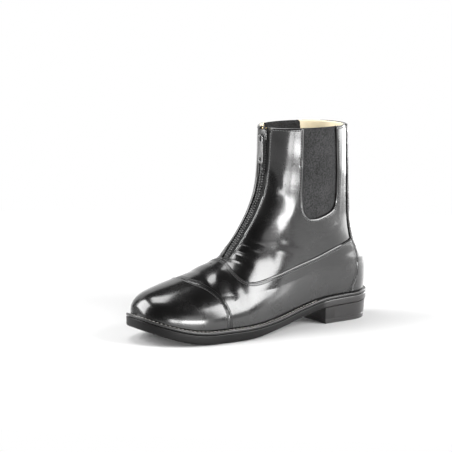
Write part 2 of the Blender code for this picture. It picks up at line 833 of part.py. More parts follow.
def make_zip(tape_material, metal, collection, cutters):
    """Tape behind the slot, and the closed chain of teeth on it."""
    foot = level_height(0.015)
    front = INSTEP_Y - ZIP_REACH_BEFORE_INSTEP
    inner = -(UPPER_WALL + SEAT_GAP)
    half = ZIP_TAPE_WIDTH / 2
    top = BOOT_HEIGHT + 5
    low = foot - ZIP_FOOT_LAP
    outline = [(-half, low), (half, low), (half, top), (-half, top)]
    cutter = add_prism("zip_tape_outline", outline, front, SHAFT_AXIS, 1, cutters)
    tape = add_shell("zip_tape", [outside_grid(inner, 1.0, 3.0)], ZIP_TAPE_THICKNESS, False,
                     tape_material, collection)
    cut(tape, cutter, "INTERSECT")

    half = ZIP_CHAIN_WIDTH / 2
    top = BOOT_HEIGHT - ZIP_TOP_CLEARANCE
    low = foot + ZIP_CHAIN_FOOT_CLEARANCE
    outline = [(-half, low), (half, low), (half, top), (-half, top)]
    cutter = add_prism("zip_chain_outline", outline, front, SHAFT_AXIS, 1, cutters)
    chain = add_shell("zip_chain", [outside_grid(inner + GAP, 1.0, 3.0)], ZIP_CHAIN_THICKNESS, True,
                      metal, collection)
    cut(chain, cutter, "INTERSECT")


def slider_frame():
    """Height, depth and tilt of the slider on the chain's outer face."""
    z = BOOT_HEIGHT - SLIDER_BELOW_COLLAR
    step = SLIDER_LENGTH / 2
    face = ZIP_CHAIN_THICKNESS + GAP - (UPPER_WALL + SEAT_GAP)
    tilt = math.atan2(float(front_y(z + step) - front_y(z - step)), 2 * step)
    y = float(front_y(z)) - face
    return y, z, tilt


def pivot_place():
    """The bail's centre, which the puller turns about, in (y, z)."""
    y, z, tilt = slider_frame()
    reach = GAP + SLIDER_FRONT + BAIL_STAND_OFF
    return y - reach * math.cos(tilt), z + reach * math.sin(tilt)


def add_box(name, low, high, place, tilt, material, collection):
    """A box between two corners given about its own origin."""
    bm = bmesh.new()
    bmesh.ops.create_cube(bm, size=1.0)
    for corner in bm.verts:
        for axis in range(3):
            share = corner.co[axis] + 0.5
            corner.co[axis] = (low[axis] + (high[axis] - low[axis]) * share) * MM
    mesh = bpy.data.meshes.new(name)
    bm.to_mesh(mesh)
    bm.free()
    thing = bpy.data.objects.new(name, mesh)
    if material:
        mesh.materials.append(material)
    else:
        thing.hide_render = True
        thing.display_type = "WIRE"
    thing.location = (0.0, place[0] * MM, place[1] * MM)
    thing.rotation_euler = (tilt, 0.0, 0.0)
    collection.objects.link(thing)
    return thing


def make_slider(metal, collection, cutters):
    """The slider: a front plate with lips round the chain, and the bail that holds the puller."""
    y, z, tilt = slider_frame()
    place = (y, z)
    half_width = SLIDER_WIDTH / 2
    half_length = SLIDER_LENGTH / 2
    slider = add_box("zip_slider", (-half_width, -GAP - SLIDER_FRONT, -half_length),
                     (half_width, SLIDER_LIP_DEPTH, half_length), place, -tilt, metal, collection)
    channel = ZIP_CHAIN_WIDTH / 2 + GAP
    groove = add_box("slider_channel", (-channel, -GAP, -half_length - 1),
                     (channel, SLIDER_LIP_DEPTH + 1, half_length + 1), place, -tilt, None, cutters)
    cut(slider, groove, "DIFFERENCE")

    bm = bmesh.new()
    sides = 16
    outer = BAIL_HOLE_RADIUS + BAIL_WIRE
    rings = []
    for x in (-BAIL_WIDTH / 2, BAIL_WIDTH / 2):
        for radius in (outer, BAIL_HOLE_RADIUS):
            turn = [2 * math.pi * k / sides for k in range(sides)]
            rings.append([bm.verts.new((x * MM, radius * MM * math.cos(a), radius * MM * math.sin(a)))
                          for a in turn])
    for a, b in ((0, 1), (1, 3), (3, 2), (2, 0)):
        for k in range(sides):
            n = (k + 1) % sides
            bm.faces.new((rings[a][k], rings[a][n], rings[b][n], rings[b][k]))
    bmesh.ops.recalc_face_normals(bm, faces=bm.faces)
    mesh = bpy.data.meshes.new("slider_bail")
    bm.to_mesh(mesh)
    bm.free()
    bail = bpy.data.objects.new("slider_bail", mesh)
    pivot = pivot_place()
    bail.location = (0.0, pivot[0] * MM, pivot[1] * MM)
    bail.hide_render = True
    bail.display_type = "WIRE"
    cutters.objects.link(bail)
    cut(slider, bail, "UNION")


def make_puller(metal, collection, cutters):
    """The pull tab, hanging from its cross bar in the bail."""
    pivot = pivot_place()
    half = PULLER_THICKNESS / 2
    wide = PULLER_WIDTH / 2
    puller = add_box("zip_puller", (-wide, -half, -PULLER_LENGTH), (wide, half, half), pivot, 0.0,
                     metal, collection)
    slot = PULLER_SLOT_WIDTH / 2
    hole = add_box("puller_slot", (-slot, -half - 1, -half - PULLER_SLOT_LENGTH),
                   (slot, half + 1, -half), pivot, 0.0, None, cutters)
    cut(puller, hole, "DIFFERENCE")


def main():
    for thing in list(bpy.data.objects):
        bpy.data.objects.remove(thing)
    boot = bpy.data.collections.new("paddock boot")
    cutters = bpy.data.collections.new("cutters")
    bpy.context.scene.collection.children.link(boot)
    bpy.context.scene.collection.children.link(cutters)
    upper_leather = leather("polished black leather", (0.012, 0.011, 0.011), 0.22)
    sole_leather = leather("black sole edge", (0.02, 0.019, 0.018), 0.38)
    lining = leather("cream lining", (0.82, 0.74, 0.60), 0.65)
    elastic = leather("black elastic", (0.014, 0.014, 0.015), 0.85)
    tape = leather("black zip tape", (0.016, 0.016, 0.017), 0.8)
    metal = leather("grey metal", (0.50, 0.50, 0.51), 0.3, 1.0)
    make_sole(sole_leather, boot)
    make_heel(sole_leather, boot)
    make_insole(lining, boot)
    make_upper(upper_leather, boot, cutters)
    make_overlays(upper_leather, boot, cutters)
    make_gores(elastic, boot, cutters)
    make_zip(tape, metal, boot, cutters)
    make_slider(metal, boot, cutters)
    make_puller(metal, boot, cutters)


main()
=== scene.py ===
"""Looks of the left paddock boot: polished leather, stitching, zip, elastic sides and sole.

All sizes in the tables and functions below are in millimetres, in the part's own frame: the toe
points along -Y, the wearer's left side is +X and the origin is on the ground under the heel.
"""

import math

import bmesh
import bpy
import numpy as np
from bpy.props import FloatProperty, FloatVectorProperty, PointerProperty
from mathutils import Matrix, Vector


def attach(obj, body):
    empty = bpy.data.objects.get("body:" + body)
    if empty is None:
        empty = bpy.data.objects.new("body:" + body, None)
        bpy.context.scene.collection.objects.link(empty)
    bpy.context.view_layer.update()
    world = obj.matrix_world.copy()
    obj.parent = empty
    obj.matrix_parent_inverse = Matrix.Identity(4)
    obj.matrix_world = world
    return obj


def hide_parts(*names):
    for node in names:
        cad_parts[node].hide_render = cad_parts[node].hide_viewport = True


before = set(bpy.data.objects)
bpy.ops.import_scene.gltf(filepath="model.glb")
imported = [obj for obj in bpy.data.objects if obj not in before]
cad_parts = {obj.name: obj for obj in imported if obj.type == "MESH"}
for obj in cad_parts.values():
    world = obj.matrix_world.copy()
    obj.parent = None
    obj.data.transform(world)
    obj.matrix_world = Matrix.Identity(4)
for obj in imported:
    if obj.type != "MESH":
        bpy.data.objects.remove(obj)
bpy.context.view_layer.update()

bl_info = {
    "name": "Paddock boot looks",
    "version": (1, 0, 0),
    "blender": (4, 5, 0),
    "location": "3D View > Sidebar > Boot",
    "description": "Leather, stitching, zip, elastic and sole of a paddock boot",
    "category": "Object",
}

MM = 0.001
GAP = 0.3
BODY = "boot"
TAB_BODY = "puller"

# The boot's main sizes
SOLE_LENGTH = 287.5
BALL_WIDTH = 97.0
HEEL_WIDTH = 66.0
HEEL_LIFT = 18.0
HEEL_BOTTOM_INSET = 2.6
HEEL_TOP_INSET = 0.9
HEEL_LENGTH = 66.8
HEEL_BREAST_RAKE = 1.6
OUTSOLE_FOREPART = 9.8
OUTSOLE_WAIST = 7.6
WELT_THICKNESS = 3.0
TOE_SPRING = 16.5
BOOT_HEIGHT = 210.0
VAMP_HEIGHT = 62.0
SHAFT_DEPTH = 98.6
SHAFT_WIDTH = 79.0
UPPER_WALL = 2.4
LASTING_MARGIN = 10.0
BED_MARGIN = 2.0
WELT_EDGE_TOE = 6.5
WELT_EDGE_SIDE = 5.5
WELT_EDGE_HEEL = 4.8
RIDGE_LEAN = 3.0
SIDE_FULLNESS = 1.6
SEAT_GAP = 0.5
GALOSH_THICKNESS = 1.2
TOE_CAP_THICKNESS = 1.7
BACKSTAY_THICKNESS = 1.5
GORE_THICKNESS = 1.6
GORE_LAP = 5.0
RIB_HEIGHT = 0.12
RIB_SPACING = 2.6
BEHIND_WALL = -(UPPER_WALL + SEAT_GAP)
ZIP_SLOT_TOP = 18.0
ZIP_SLOT_FOOT = 12.0
ZIP_FOOT_LAP = 7.0
ZIP_TAPE_WIDTH = 30.0
ZIP_TAPE_THICKNESS = 0.8
ZIP_CHAIN_THICKNESS = 2.2
SLIDER_LENGTH = 15.0
SLIDER_WIDTH = 11.0
SLIDER_FRONT = 1.5
SLIDER_LIP_DEPTH = 1.3
SLIDER_BELOW_COLLAR = 10.0
BAIL_WIDTH = 2.0
BAIL_HOLE_RADIUS = 1.7
BAIL_STAND_OFF = 1.3
BAIL_WIRE = 1.1
SLIDER_SHOULDER = 6.0
SLIDER_TAIL = 3.4
SLIDER_CORNER = 2.2
LIP_INSIDE = 4.35
LIP_CORNER = 0.5
PULLER_LENGTH = 28.0
PULLER_WIDTH = 8.0
PULLER_THICKNESS = 1.4
PULLER_SLOT_WIDTH = 3.4
PULLER_SLOT_LENGTH = 4.2
PULLER_NECK_INSET = 0.6
PULLER_NECK_END = 7.0
PULLER_FULL_WIDTH_FROM = 11.0
PULLER_CORNER = 1.7
EYE_HALF_WIDTH = 1.7
EYE_FOOT = 2.6
EYE_TOP = 6.4
TOOTH_LENGTH = 1.3
TOOTH_WIDTH = 4.05
TOOTH_HEIGHT = 2.1
TOOTH_ROW = 1.95
STOP_SIZE = 2.2
STOP_BELOW_COLLAR = 1.3

# Seams, as distances from a piece's edge, and how far the thread stands off the leather
SEAM = 1.8
SECOND_SEAM = 3.5
COLLAR_SEAM = 2.4
WINDOW_SEAM = 2.3
ZIP_SEAM = 2.6
WELT_SEAM = 2.9
THREAD_LIFT = 0.05
GROOVE_WIDTH = 0.42

# Where the form's parts begin and meet. A share is of the sole's length from the heel's back, and a
# level is a height of the shaft, from 0 at the instep to 1 at the collar
HEEL_BACK = 36.0
TOE_TIP = HEEL_BACK - SOLE_LENGTH
FEATHER_TIP = TOE_TIP + WELT_EDGE_TOE
FEATHER_BACK = HEEL_BACK - WELT_EDGE_HEEL
AXIS_SHARE = 0.286
SHAFT_AXIS = HEEL_BACK - AXIS_SHARE * SOLE_LENGTH
HEEL_FACE_BACK = HEEL_BACK - HEEL_BOTTOM_INSET
HEEL_FACE_FRONT = HEEL_FACE_BACK - HEEL_LENGTH
HALF_BALL = BALL_WIDTH / 2
HALF_HEEL = HEEL_WIDTH / 2
HEEL_FRONT_LEVEL = 0.26
INSTEP_SHARE = 0.633
SHAFT_POWER = 2.0
VAMP_POWER = 2.15
TOE_ROUNDING_START = 0.70
TOE_ROUNDING_POWER = 2.35
HEEL_ROUNDING_START = 0.125
HEEL_ROUNDING_POWER = 2.1
TOE_START = HEEL_BACK - TOE_ROUNDING_START * SOLE_LENGTH
HEEL_START = HEEL_BACK - HEEL_ROUNDING_START * SOLE_LENGTH
ZIP_FOOT_LEVEL = 0.015
MIDDLE_LEVEL = 0.35
BLEND_LEVEL = 0.28
BLEND_START = 0.80
BLEND_RUN = 0.28
TURN_START_LEVEL = -0.25
TURN_END_LEVEL = 0.45
REACH_SOFTNESS = 0.09
LEAN_START = 0.30
LEAN_RUN = 0.25

# Corners well outside the boot, which close an outline in side view
AHEAD = TOE_TIP - 30.0
BEHIND = HEEL_BACK + 30.0
BELOW = -60.0
ABOVE = 260.0

# Plan of the sole. Columns: share of the length from the heel's back, shift of the middle and
# half widths to the little toe's side and to the big toe's side, as shares of the last column
PLAN = np.array((
    (0.00, 0.000, 1.00, 0.99, HALF_HEEL),
    (0.14, 0.000, 1.00, 0.99, HALF_HEEL),
    (0.26, -0.015, 1.03, 0.94, HALF_HEEL),
    (0.38, -0.020, 0.80, 0.60, HALF_BALL),
    (0.50, -0.020, 0.94, 0.68, HALF_BALL),
    (0.62, -0.030, 1.05, 0.86, HALF_BALL),
    (0.70, -0.060, 1.06, 0.94, HALF_BALL),
    (0.79, -0.090, 1.06, 0.93, HALF_BALL),
    (1.00, -0.150, 0.99, 0.88, HALF_BALL),
))

# Underside of the sole. Columns: share of the length, share of the toe spring, share of the heel lift
TREAD = np.array((
    (0.00, 0.00, 1.10),
    (0.22, 0.00, 1.00),
    (0.34, 0.00, 0.72),
    (0.50, 0.00, 0.26),
    (0.60, 0.00, 0.05),
    (0.655, 0.00, 0.00),
    (0.775, 0.00, 0.00),
    (0.820, 0.06, 0.00),
    (0.870, 0.22, 0.00),
    (0.930, 0.53, 0.00),
    (1.000, 1.00, 0.00),
))

# Thickness of the outsole. Columns: share of the length, share of the forepart, share of the waist
OUTSOLE = np.array(((0.00, 0.0, 1.0), (0.45, 0.0, 1.0), (0.66, 1.0, 0.0), (1.00, 1.0, 0.0)))

# Top line of the toe and vamp. Columns: share of the length, share of the vamp height above the welt
VAMP_LINE = (
    (0.969, 0.175),
    (0.946, 0.335),
    (0.897, 0.505),
    (0.821, 0.675),
    (0.744, 0.785),
    (0.682, 0.895),
)

# Shaft, from the instep (level 0) to the collar (level 1). Columns: level, reach to the front
# and to the back of the axis as shares of the shaft depth, half width as a share of its width
SHAFT = np.array((
    (0.000, 1.011, 0.735, 0.430),
    (0.094, 0.900, 0.675, 0.425),
    (0.194, 0.798, 0.625, 0.425),
    (0.365, 0.646, 0.580, 0.440),
    (0.498, 0.565, 0.560, 0.458),
    (0.688, 0.519, 0.537, 0.482),
    (1.000, 0.500, 0.500, 0.500),
))

# Back of the heel. Columns: share of the vamp height above the welt, swell behind the feather
COUNTER = ((0.00, 0.0), (0.17, 1.5), (0.38, 2.0), (0.55, 0.6))

# Top edge of the vamp and counter overlay, from the zip's foot back to the heel strip.
# Columns: share of the length, level of the shaft
GALOSH_EDGE = (
    (0.626, 0.040),
    (0.634, -0.030),
    (0.628, -0.095),
    (0.606, -0.137),
    (0.565, -0.143),
    (0.490, -0.115),
    (0.390, -0.066),
    (0.290, -0.016),
    (0.205, 0.046),
    (0.130, 0.086),
)

# Back edge of the toe cap. Columns: share of the length, share of the vamp height above the welt
TOE_CAP_EDGE = (
    (0.812, 0.860),
    (0.795, 0.720),
    (0.757, 0.630),
    (0.730, 0.500),
    (0.714, 0.330),
    (0.708, 0.150),
    (0.706, -0.300),
)

# Front edge of the heel strip. Columns: share of the shaft depth behind its axis, shaft level
BACKSTAY_EDGE = (
    (0.420, 1.050),
    (0.430, 0.700),
    (0.450, 0.360),
    (0.462, 0.210),
    (0.490, 0.085),
    (0.548, 0.000),
    (0.576, -0.119),
    (0.548, -0.215),
    (0.500, -0.300),
    (0.440, -0.450),
)

# Elastic window, from the collar's front corner round the foot to its back corner.
# Columns: share of the shaft depth behind its axis, level of the shaft
GORE_WINDOW = (
    (-0.232, 1.050),
    (-0.231, 0.838),
    (-0.229, 0.630),
    (-0.222, 0.440),
    (-0.200, 0.350),
    (-0.150, 0.303),
    (-0.070, 0.288),
    (0.010, 0.296),
    (0.115, 0.319),
    (0.200, 0.352),
    (0.240, 0.430),
    (0.236, 0.603),
    (0.214, 0.819),
    (0.184, 1.050),
)
WINDOW_MIDDLE = 0.020
WINDOW_MIDDLE_LEVEL = 0.62
WINDOW_FOOT_LEVEL = 0.30
WINDOW_HALF_DEPTH = 0.2


def smooth(value, columns, values):
    """Reads a table with a smooth curve that never overshoots between its rows."""
    x = np.asarray(columns, float)
    y = np.asarray(values, float)
    if x[0] > x[-1]:
        x = x[::-1]
        y = y[::-1]
    step = np.diff(x)
    slope = np.diff(y) / step
    tangent = np.zeros_like(y)
    tangent[0] = slope[0]
    tangent[-1] = slope[-1]
    for i in range(1, len(x) - 1):
        if slope[i - 1] * slope[i] > 0:
            before = 2 * step[i] + step[i - 1]
            after = step[i] + 2 * step[i - 1]
            tangent[i] = (before + after) / (before / slope[i - 1] + after / slope[i])
    v = np.clip(np.asarray(value, float), x[0], x[-1])
    i = np.clip(np.searchsorted(x, v) - 1, 0, len(step) - 1)
    t = (v - x[i]) / step[i]
    return (y[i] * (1 + 2 * t) * (1 - t) ** 2 + step[i] * tangent[i] * t * (1 - t) ** 2
            + y[i + 1] * t * t * (3 - 2 * t) + step[i] * tangent[i + 1] * t * t * (t - 1))


def ease(value):
    """A soft step from 0 to 1."""
    t = np.clip(value, 0.0, 1.0)
    return t * t * (3 - 2 * t)


def rounded(value, power):
    """A superellipse quarter: 1 at 0, closing to 0 at 1."""
    t = np.clip(value, 0.0, 1.0)
    return (1 - t ** power) ** (1 / power)


def share_of(y):
    return (HEEL_BACK - y) / SOLE_LENGTH


def tread(y):
    """Height of the sole's underside."""
    return smooth(share_of(y), TREAD[:, 0], TREAD[:, 1] * TOE_SPRING + TREAD[:, 2] * HEEL_LIFT)


def outsole_top(y):
    heights = OUTSOLE[:, 1] * OUTSOLE_FOREPART + OUTSOLE[:, 2] * OUTSOLE_WAIST
    return tread(y) + smooth(share_of(y), OUTSOLE[:, 0], heights)


def welt_top(y):
    return outsole_top(y) + GAP + WELT_THICKNESS


def feather(y):
    """Height of the upper's lower edge, just clear of the welt."""
    return welt_top(y) + SEAT_GAP


def plan(y, tip, back, inset):
    """Middle and the two half widths of an outline that ends at tip and back."""
    share = share_of(y)
    size = PLAN[:, 4]
    middle = smooth(share, PLAN[:, 0], PLAN[:, 1] * size)
    close = (rounded((TOE_START - y) / (TOE_START - tip), TOE_ROUNDING_POWER)
             * rounded((y - HEEL_START) / (back - HEEL_START), HEEL_ROUNDING_POWER))
    left = (smooth(share, PLAN[:, 0], PLAN[:, 2] * size) - inset) * close
    right = (smooth(share, PLAN[:, 0], PLAN[:, 3] * size) - inset) * close
    return middle, left, right


INSTEP_Y = HEEL_BACK - INSTEP_SHARE * SOLE_LENGTH
INSTEP_Z = float(feather(INSTEP_Y)) + VAMP_HEIGHT


def level_height(level):
    """Height of a level of the shaft: 0 at the instep, 1 at the collar."""
    return INSTEP_Z + level * (BOOT_HEIGHT - INSTEP_Z)


def foot_point(share, height):
    """A place (y, z) from a share of the length and a share of the vamp height above the welt."""
    y = HEEL_BACK - share * SOLE_LENGTH
    return y, float(feather(y)) + height * VAMP_HEIGHT


def shaft_point(share, level):
    """A place (y, z) from a share of the shaft depth behind its axis and a level of the shaft."""
    return SHAFT_AXIS + share * SHAFT_DEPTH, level_height(level)


# The front line from the toe's tip up the shaft, and the back line from the feather up the shaft
FRONT = np.array([(FEATHER_TIP, float(feather(FEATHER_TIP)))]
                 + [foot_point(share, height) for share, height in VAMP_LINE]
                 + [shaft_point(-front, level) for level, front, back, width in SHAFT])
BACK = np.array([(FEATHER_BACK + swell, float(feather(FEATHER_BACK)) + height * VAMP_HEIGHT)
                 for height, swell in COUNTER]
                + [shaft_point(back, level) for level, front, back, width in SHAFT])


def front_y(z):
    return smooth(z, FRONT[:, 1], FRONT[:, 0])


def top_z(y):
    """Height of the front line over a place along Y, running on straight behind the shaft's front."""
    near = 0.05
    turn_y, turn_z = FRONT[-3]
    slope = (turn_z - smooth(turn_y - near, FRONT[:, 0], FRONT[:, 1])) / near
    past = np.maximum(np.asarray(y, float) - turn_y, 0.0)
    return smooth(np.minimum(y, turn_y), FRONT[:, 0], FRONT[:, 1]) + past * slope


def back_y(z):
    return smooth(z, BACK[:, 1], BACK[:, 0])


def middle_y(z):
    """The place along Y where front and back halves of a level meet."""
    low = feather(HEEL_START)
    rise = ease((z - low) / (level_height(MIDDLE_LEVEL) - low))
    return HEEL_START + (SHAFT_AXIS - HEEL_START) * rise


def rise_at(y, z):
    """Share of the way from the upper's lower edge to the front line above it."""
    low = feather(y)
    return np.clip((z - low) / np.maximum(top_z(y) - low, 0.01), 0, 1)


def shaft_blend(y, z):
    """0 in the foot, 1 in the shaft."""
    low = level_height(-BLEND_LEVEL)
    height = ease((z - low) / (level_height(BLEND_LEVEL) - low))
    place = ease((y - (HEEL_BACK - BLEND_START * SOLE_LENGTH)) / (BLEND_RUN * SOLE_LENGTH))
    return height * place


def half_width(y, z, side):
    """Distance from the middle plane to the upper's outside, to the left (+1) or right (-1)."""
    share = share_of(y)
    left = smooth(share, PLAN[:, 0], PLAN[:, 2] * PLAN[:, 4])
    right = smooth(share, PLAN[:, 0], PLAN[:, 3] * PLAN[:, 4])
    foot = np.where(np.asarray(side) >= 0, left, right) - WELT_EDGE_SIDE
    foot = foot * rounded((TOE_START - y) / (TOE_START - FEATHER_TIP), TOE_ROUNDING_POWER)
    half_vamp = VAMP_HEIGHT / 2
    fullness = SIDE_FULLNESS * np.sin(np.clip((z - feather(y)) / half_vamp, 0, 1) * math.pi)
    foot = foot + fullness * foot / HALF_BALL
    shaft = smooth(z, level_height(SHAFT[:, 0]), SHAFT[:, 3] * SHAFT_WIDTH)
    blend = shaft_blend(y, z)
    body = foot * (1 - blend) + shaft * blend
    centre = middle_y(z)
    reach = (centre - y) / (centre - front_y(z))
    reach = np.clip((reach + np.hypot(reach, REACH_SOFTNESS)) / 2, 0, 1)
    turn_start = level_height(TURN_START_LEVEL)
    turn = ease((z - turn_start) / (level_height(TURN_END_LEVEL) - turn_start))
    closing = rise_at(y, z) * (1 - turn) + reach * turn
    power = VAMP_POWER + (SHAFT_POWER - VAMP_POWER) * turn
    back = np.clip((y - centre) / np.maximum(back_y(z) - centre, 0.01), 0, 1)
    return body * rounded(closing, power) * rounded(back, HEEL_ROUNDING_POWER)


def middle_x(y, z):
    """The upper's middle line, which leans to the big toe's side over the vamp."""
    foot = smooth(share_of(y), PLAN[:, 0], PLAN[:, 1] * PLAN[:, 4])
    ahead = ease((HEEL_BACK - LEAN_START * SOLE_LENGTH - y) / (LEAN_RUN * SOLE_LENGTH))
    return (foot - RIDGE_LEAN * rise_at(y, z) * ahead) * (1 - shaft_blend(y, z))


def ends(s):
    """Front (y, z) and back (y, z) of the section at s.

    s runs from 0 at the toe's tip to 1 at the end of the upright sections, to 2 where the
    section's lower end reaches the heel's back, and to 3 at the collar.
    """
    s = np.asarray(s, float)
    along = np.clip(s, 0, 1)
    tip_spacing = 1 - np.cos(along * math.pi / 2)
    toe_y = FEATHER_TIP + (TOE_START - FEATHER_TIP) * (0.55 * tip_spacing + 0.45 * along ** 2)
    t = np.clip(s - 1, 0, 1)
    start_z = float(top_z(TOE_START))
    instep_z = start_z + (level_height(HEEL_FRONT_LEVEL) - start_z) * t
    spacing = t * (1 - t) ** 2 + t * t * (3 - 2 * t) - 0.15 * t * t * (1 - t)
    instep_low = TOE_START + (FEATHER_BACK - TOE_START) * spacing
    t = np.clip(s - 2, 0, 1)
    shaft_z = level_height(HEEL_FRONT_LEVEL + (1 - HEEL_FRONT_LEVEL) * t)
    back_low = float(feather(FEATHER_BACK))
    shaft_low = back_low + (BOOT_HEIGHT - back_low) * t
    toe = s <= 1
    instep = s <= 2
    y0 = np.where(toe, toe_y, front_y(np.where(instep, instep_z, shaft_z)))
    z0 = np.where(toe, top_z(toe_y), np.where(instep, instep_z, shaft_z))
    y1 = np.where(toe, toe_y, np.where(instep, instep_low, back_y(shaft_low)))
    z1 = np.where(toe, feather(toe_y), np.where(instep, feather(instep_low), shaft_low))
    return y0, z0, y1, z1


def surface(s, t):
    """Points of the upper's outside. t runs from -1 (right foot edge) over 0 (front) to 1 (left)."""
    s, t = np.broadcast_arrays(np.asarray(s, float), np.asarray(t, float))
    y0, z0, y1, z1 = ends(s)
    u = np.minimum(np.abs(t), 1.0)
    mix = np.where(s < 2, ease(s - 1.0) ** 2, 1.0)
    share = (1 - np.cos(u * math.pi / 2)) * (1 - mix) + (1 - np.cos(u * math.pi)) / 2 * mix
    y = y0 + (y1 - y0) * share
    z = z0 + (z1 - z0) * share
    flat = (u == 0) | ((u == 1) & (s >= 2)) | (s == 0)
    width = np.where(flat, 0.0, half_width(y, z, t))
    return np.stack((middle_x(y, z) + np.where(t >= 0, 1, -1) * width, y, z), -1)


def normal(s, t):
    """Outward directions of the upper's outside, each from four near points."""
    s, t = np.broadcast_arrays(np.asarray(s, float), np.asarray(t, float))
    near = 0.006
    place = np.clip(t, near - 1, 1 - near)
    along = surface(np.minimum(s + near, 3.0), place) - surface(np.maximum(s - near, 0.0), place)
    around = surface(s, place + near) - surface(s, place - near)
    out = np.cross(around, along)
    edge = np.abs(t) == 1
    out[edge & (s < 2), 2] = 0.0
    out[edge & (s >= 2), 0] = 0.0
    out[s == 0] = (0.0, -1.0, 0.0)
    return out / np.maximum(np.linalg.norm(out, axis=-1, keepdims=True), 1e-9)


def on_form(y, z, side):
    """Points of the upper's outside and outward directions, from places (y, z) in side view."""
    near = 0.25

    def reach(a, b):
        return middle_x(a, b) + side * half_width(a, b, side)

    x = reach(y, z)
    out = np.stack((np.full_like(x, side),
                    -side * (reach(y + near, z) - reach(y - near, z)) / (2 * near),
                    -side * (reach(y, z + near) - reach(y, z - near)) / (2 * near)), -1)
    return np.stack((x, y, z), -1), out / np.linalg.norm(out, axis=-1, keepdims=True)


def drawn_through(points, count=8):
    """Points of a soft curve through the given ones, so many from each to the next."""
    p = np.array(points, float)
    p = np.vstack((2 * p[0] - p[1], p, 2 * p[-1] - p[-2]))
    out = []
    for i in range(1, len(p) - 2):
        for k in range(count):
            t = k / count
            out.append(0.5 * (2 * p[i] + (p[i + 1] - p[i - 1]) * t
                              + (2 * p[i - 1] - 5 * p[i] + 4 * p[i + 1] - p[i + 2]) * t ** 2
                              + (3 * p[i] - p[i - 1] - 3 * p[i + 1] + p[i + 2]) * t ** 3))
    out.append(p[-2])
    return np.array(out)


def window_edge(lap):
    """The elastic window's outline, grown by the lap on every side but the collar's."""
    centre_y, centre_z = shaft_point(WINDOW_MIDDLE, WINDOW_MIDDLE_LEVEL)
    foot = level_height(WINDOW_FOOT_LEVEL)
    rows = []
    for share, level in GORE_WINDOW:
        y, z = shaft_point(share, level)
        side = float(np.clip((y - centre_y) / (WINDOW_HALF_DEPTH * SHAFT_DEPTH), -1, 1))
        down = float(np.clip((centre_z - z) / (centre_z - foot), 0, 1)) ** 3
        rows.append((y + lap * side, z - lap * down))
    return drawn_through(rows)


GALOSH_LINE = drawn_through([(HEEL_BACK - share * SOLE_LENGTH, level_height(level))
                             for share, level in GALOSH_EDGE])
CAP_LINE = drawn_through([foot_point(share, height) for share, height in TOE_CAP_EDGE])
STRIP_LINE = drawn_through([shaft_point(share, level) for share, level in BACKSTAY_EDGE])
WINDOW_LINE = window_edge(0.0)


def reach_along(line):
    """Distance along a line at each of its points."""
    return np.concatenate(((0.0,), np.cumsum(np.linalg.norm(np.diff(line, axis=0), axis=1))))


def line_distance(y, z, line):
    """Distance in side view from places to a line of points, and how far along it the nearest is."""
    y = np.asarray(y, float)
    z = np.asarray(z, float)
    reach = reach_along(line)
    best = np.full(y.shape, 1e9)
    along = np.zeros(y.shape)
    for a, b, start in zip(line, line[1:], reach):
        step = b - a
        length = math.hypot(*step)
        if length < 1e-9:
            continue
        t = np.clip(((y - a[0]) * step[0] + (z - a[1]) * step[1]) / length ** 2, 0, 1)
        gap = np.hypot(y - a[0] - t * step[0], z - a[1] - t * step[1])
        nearer = gap < best
        best = np.where(nearer, gap, best)
        along = np.where(nearer, (start + t * length) / reach[-1], along)
    return best, along


def inside_outline(y, z, outline):
    """Whether places in side view lie inside a closed outline."""
    inside = np.zeros(np.shape(y), bool)
    ends_of = np.roll(outline, -1, axis=0)
    for (ay, az), (by, bz) in zip(outline, ends_of):
        if az == bz:
            continue
        crosses = (az > z) != (bz > z)
        inside ^= crosses & (y < (by - ay) * (z - az) / (bz - az) + ay)
    return inside


def depth_in(points, line, *corners):
    """Distance in side view to a line, positive inside the outline that the corners close."""
    y, z = points[..., 1], points[..., 2]
    outline = np.array(list(line) + list(corners))
    distance, along = line_distance(y, z, line)
    return np.where(inside_outline(y, z, outline), distance, -distance)


def cap_depth(points):
    """How far places lie inside the toe cap's edge."""
    return depth_in(points, CAP_LINE, (AHEAD, BELOW), (AHEAD, ABOVE), (CAP_LINE[0][0], ABOVE))


def strip_depth(points):
    """How far places lie inside the heel strip's edge."""
    return depth_in(points, STRIP_LINE, (BEHIND, BELOW), (BEHIND, ABOVE), (STRIP_LINE[0][0], ABOVE))


def galosh_depth(points):
    """How far places lie inside the vamp and counter overlay, which ends under cap and strip."""
    under_cap, under_strip, rise_behind = 0.4, 1.0, 12.0
    top = depth_in(points, GALOSH_LINE, (BEHIND, GALOSH_LINE[-1][1] + rise_behind), (BEHIND, BELOW),
                   (AHEAD, BELOW), (AHEAD, ABOVE), (GALOSH_LINE[0][0], ABOVE))
    return np.minimum(np.minimum(top, under_cap - cap_depth(points)), under_strip - strip_depth(points))


def slot_half(z):
    """Half the width of the zip's opening at a height."""
    foot = level_height(ZIP_FOOT_LEVEL)
    past_collar = 5.0
    share = np.clip((z - foot) / (BOOT_HEIGHT + past_collar - foot), 0, 1)
    return (ZIP_SLOT_FOOT + (ZIP_SLOT_TOP - ZIP_SLOT_FOOT) * share) / 2


def slot_depth(points):
    """How far places lie outside the zip's opening, on the front of the boot."""
    x, y, z = points[..., 0], points[..., 1], points[..., 2]
    side = np.abs(x) - slot_half(z)
    below = level_height(ZIP_FOOT_LEVEL) - z
    outside = np.where((side > 0) & (below > 0), np.hypot(side, below), np.maximum(side, below))
    front_half = SHAFT_AXIS - 12.0
    return np.maximum(outside, y - front_half)


def window_depth(points):
    """How far places lie outside the elastic windows."""
    return -depth_in(points, WINDOW_LINE)


def below_collar(points):
    return BOOT_HEIGHT - points[..., 2]


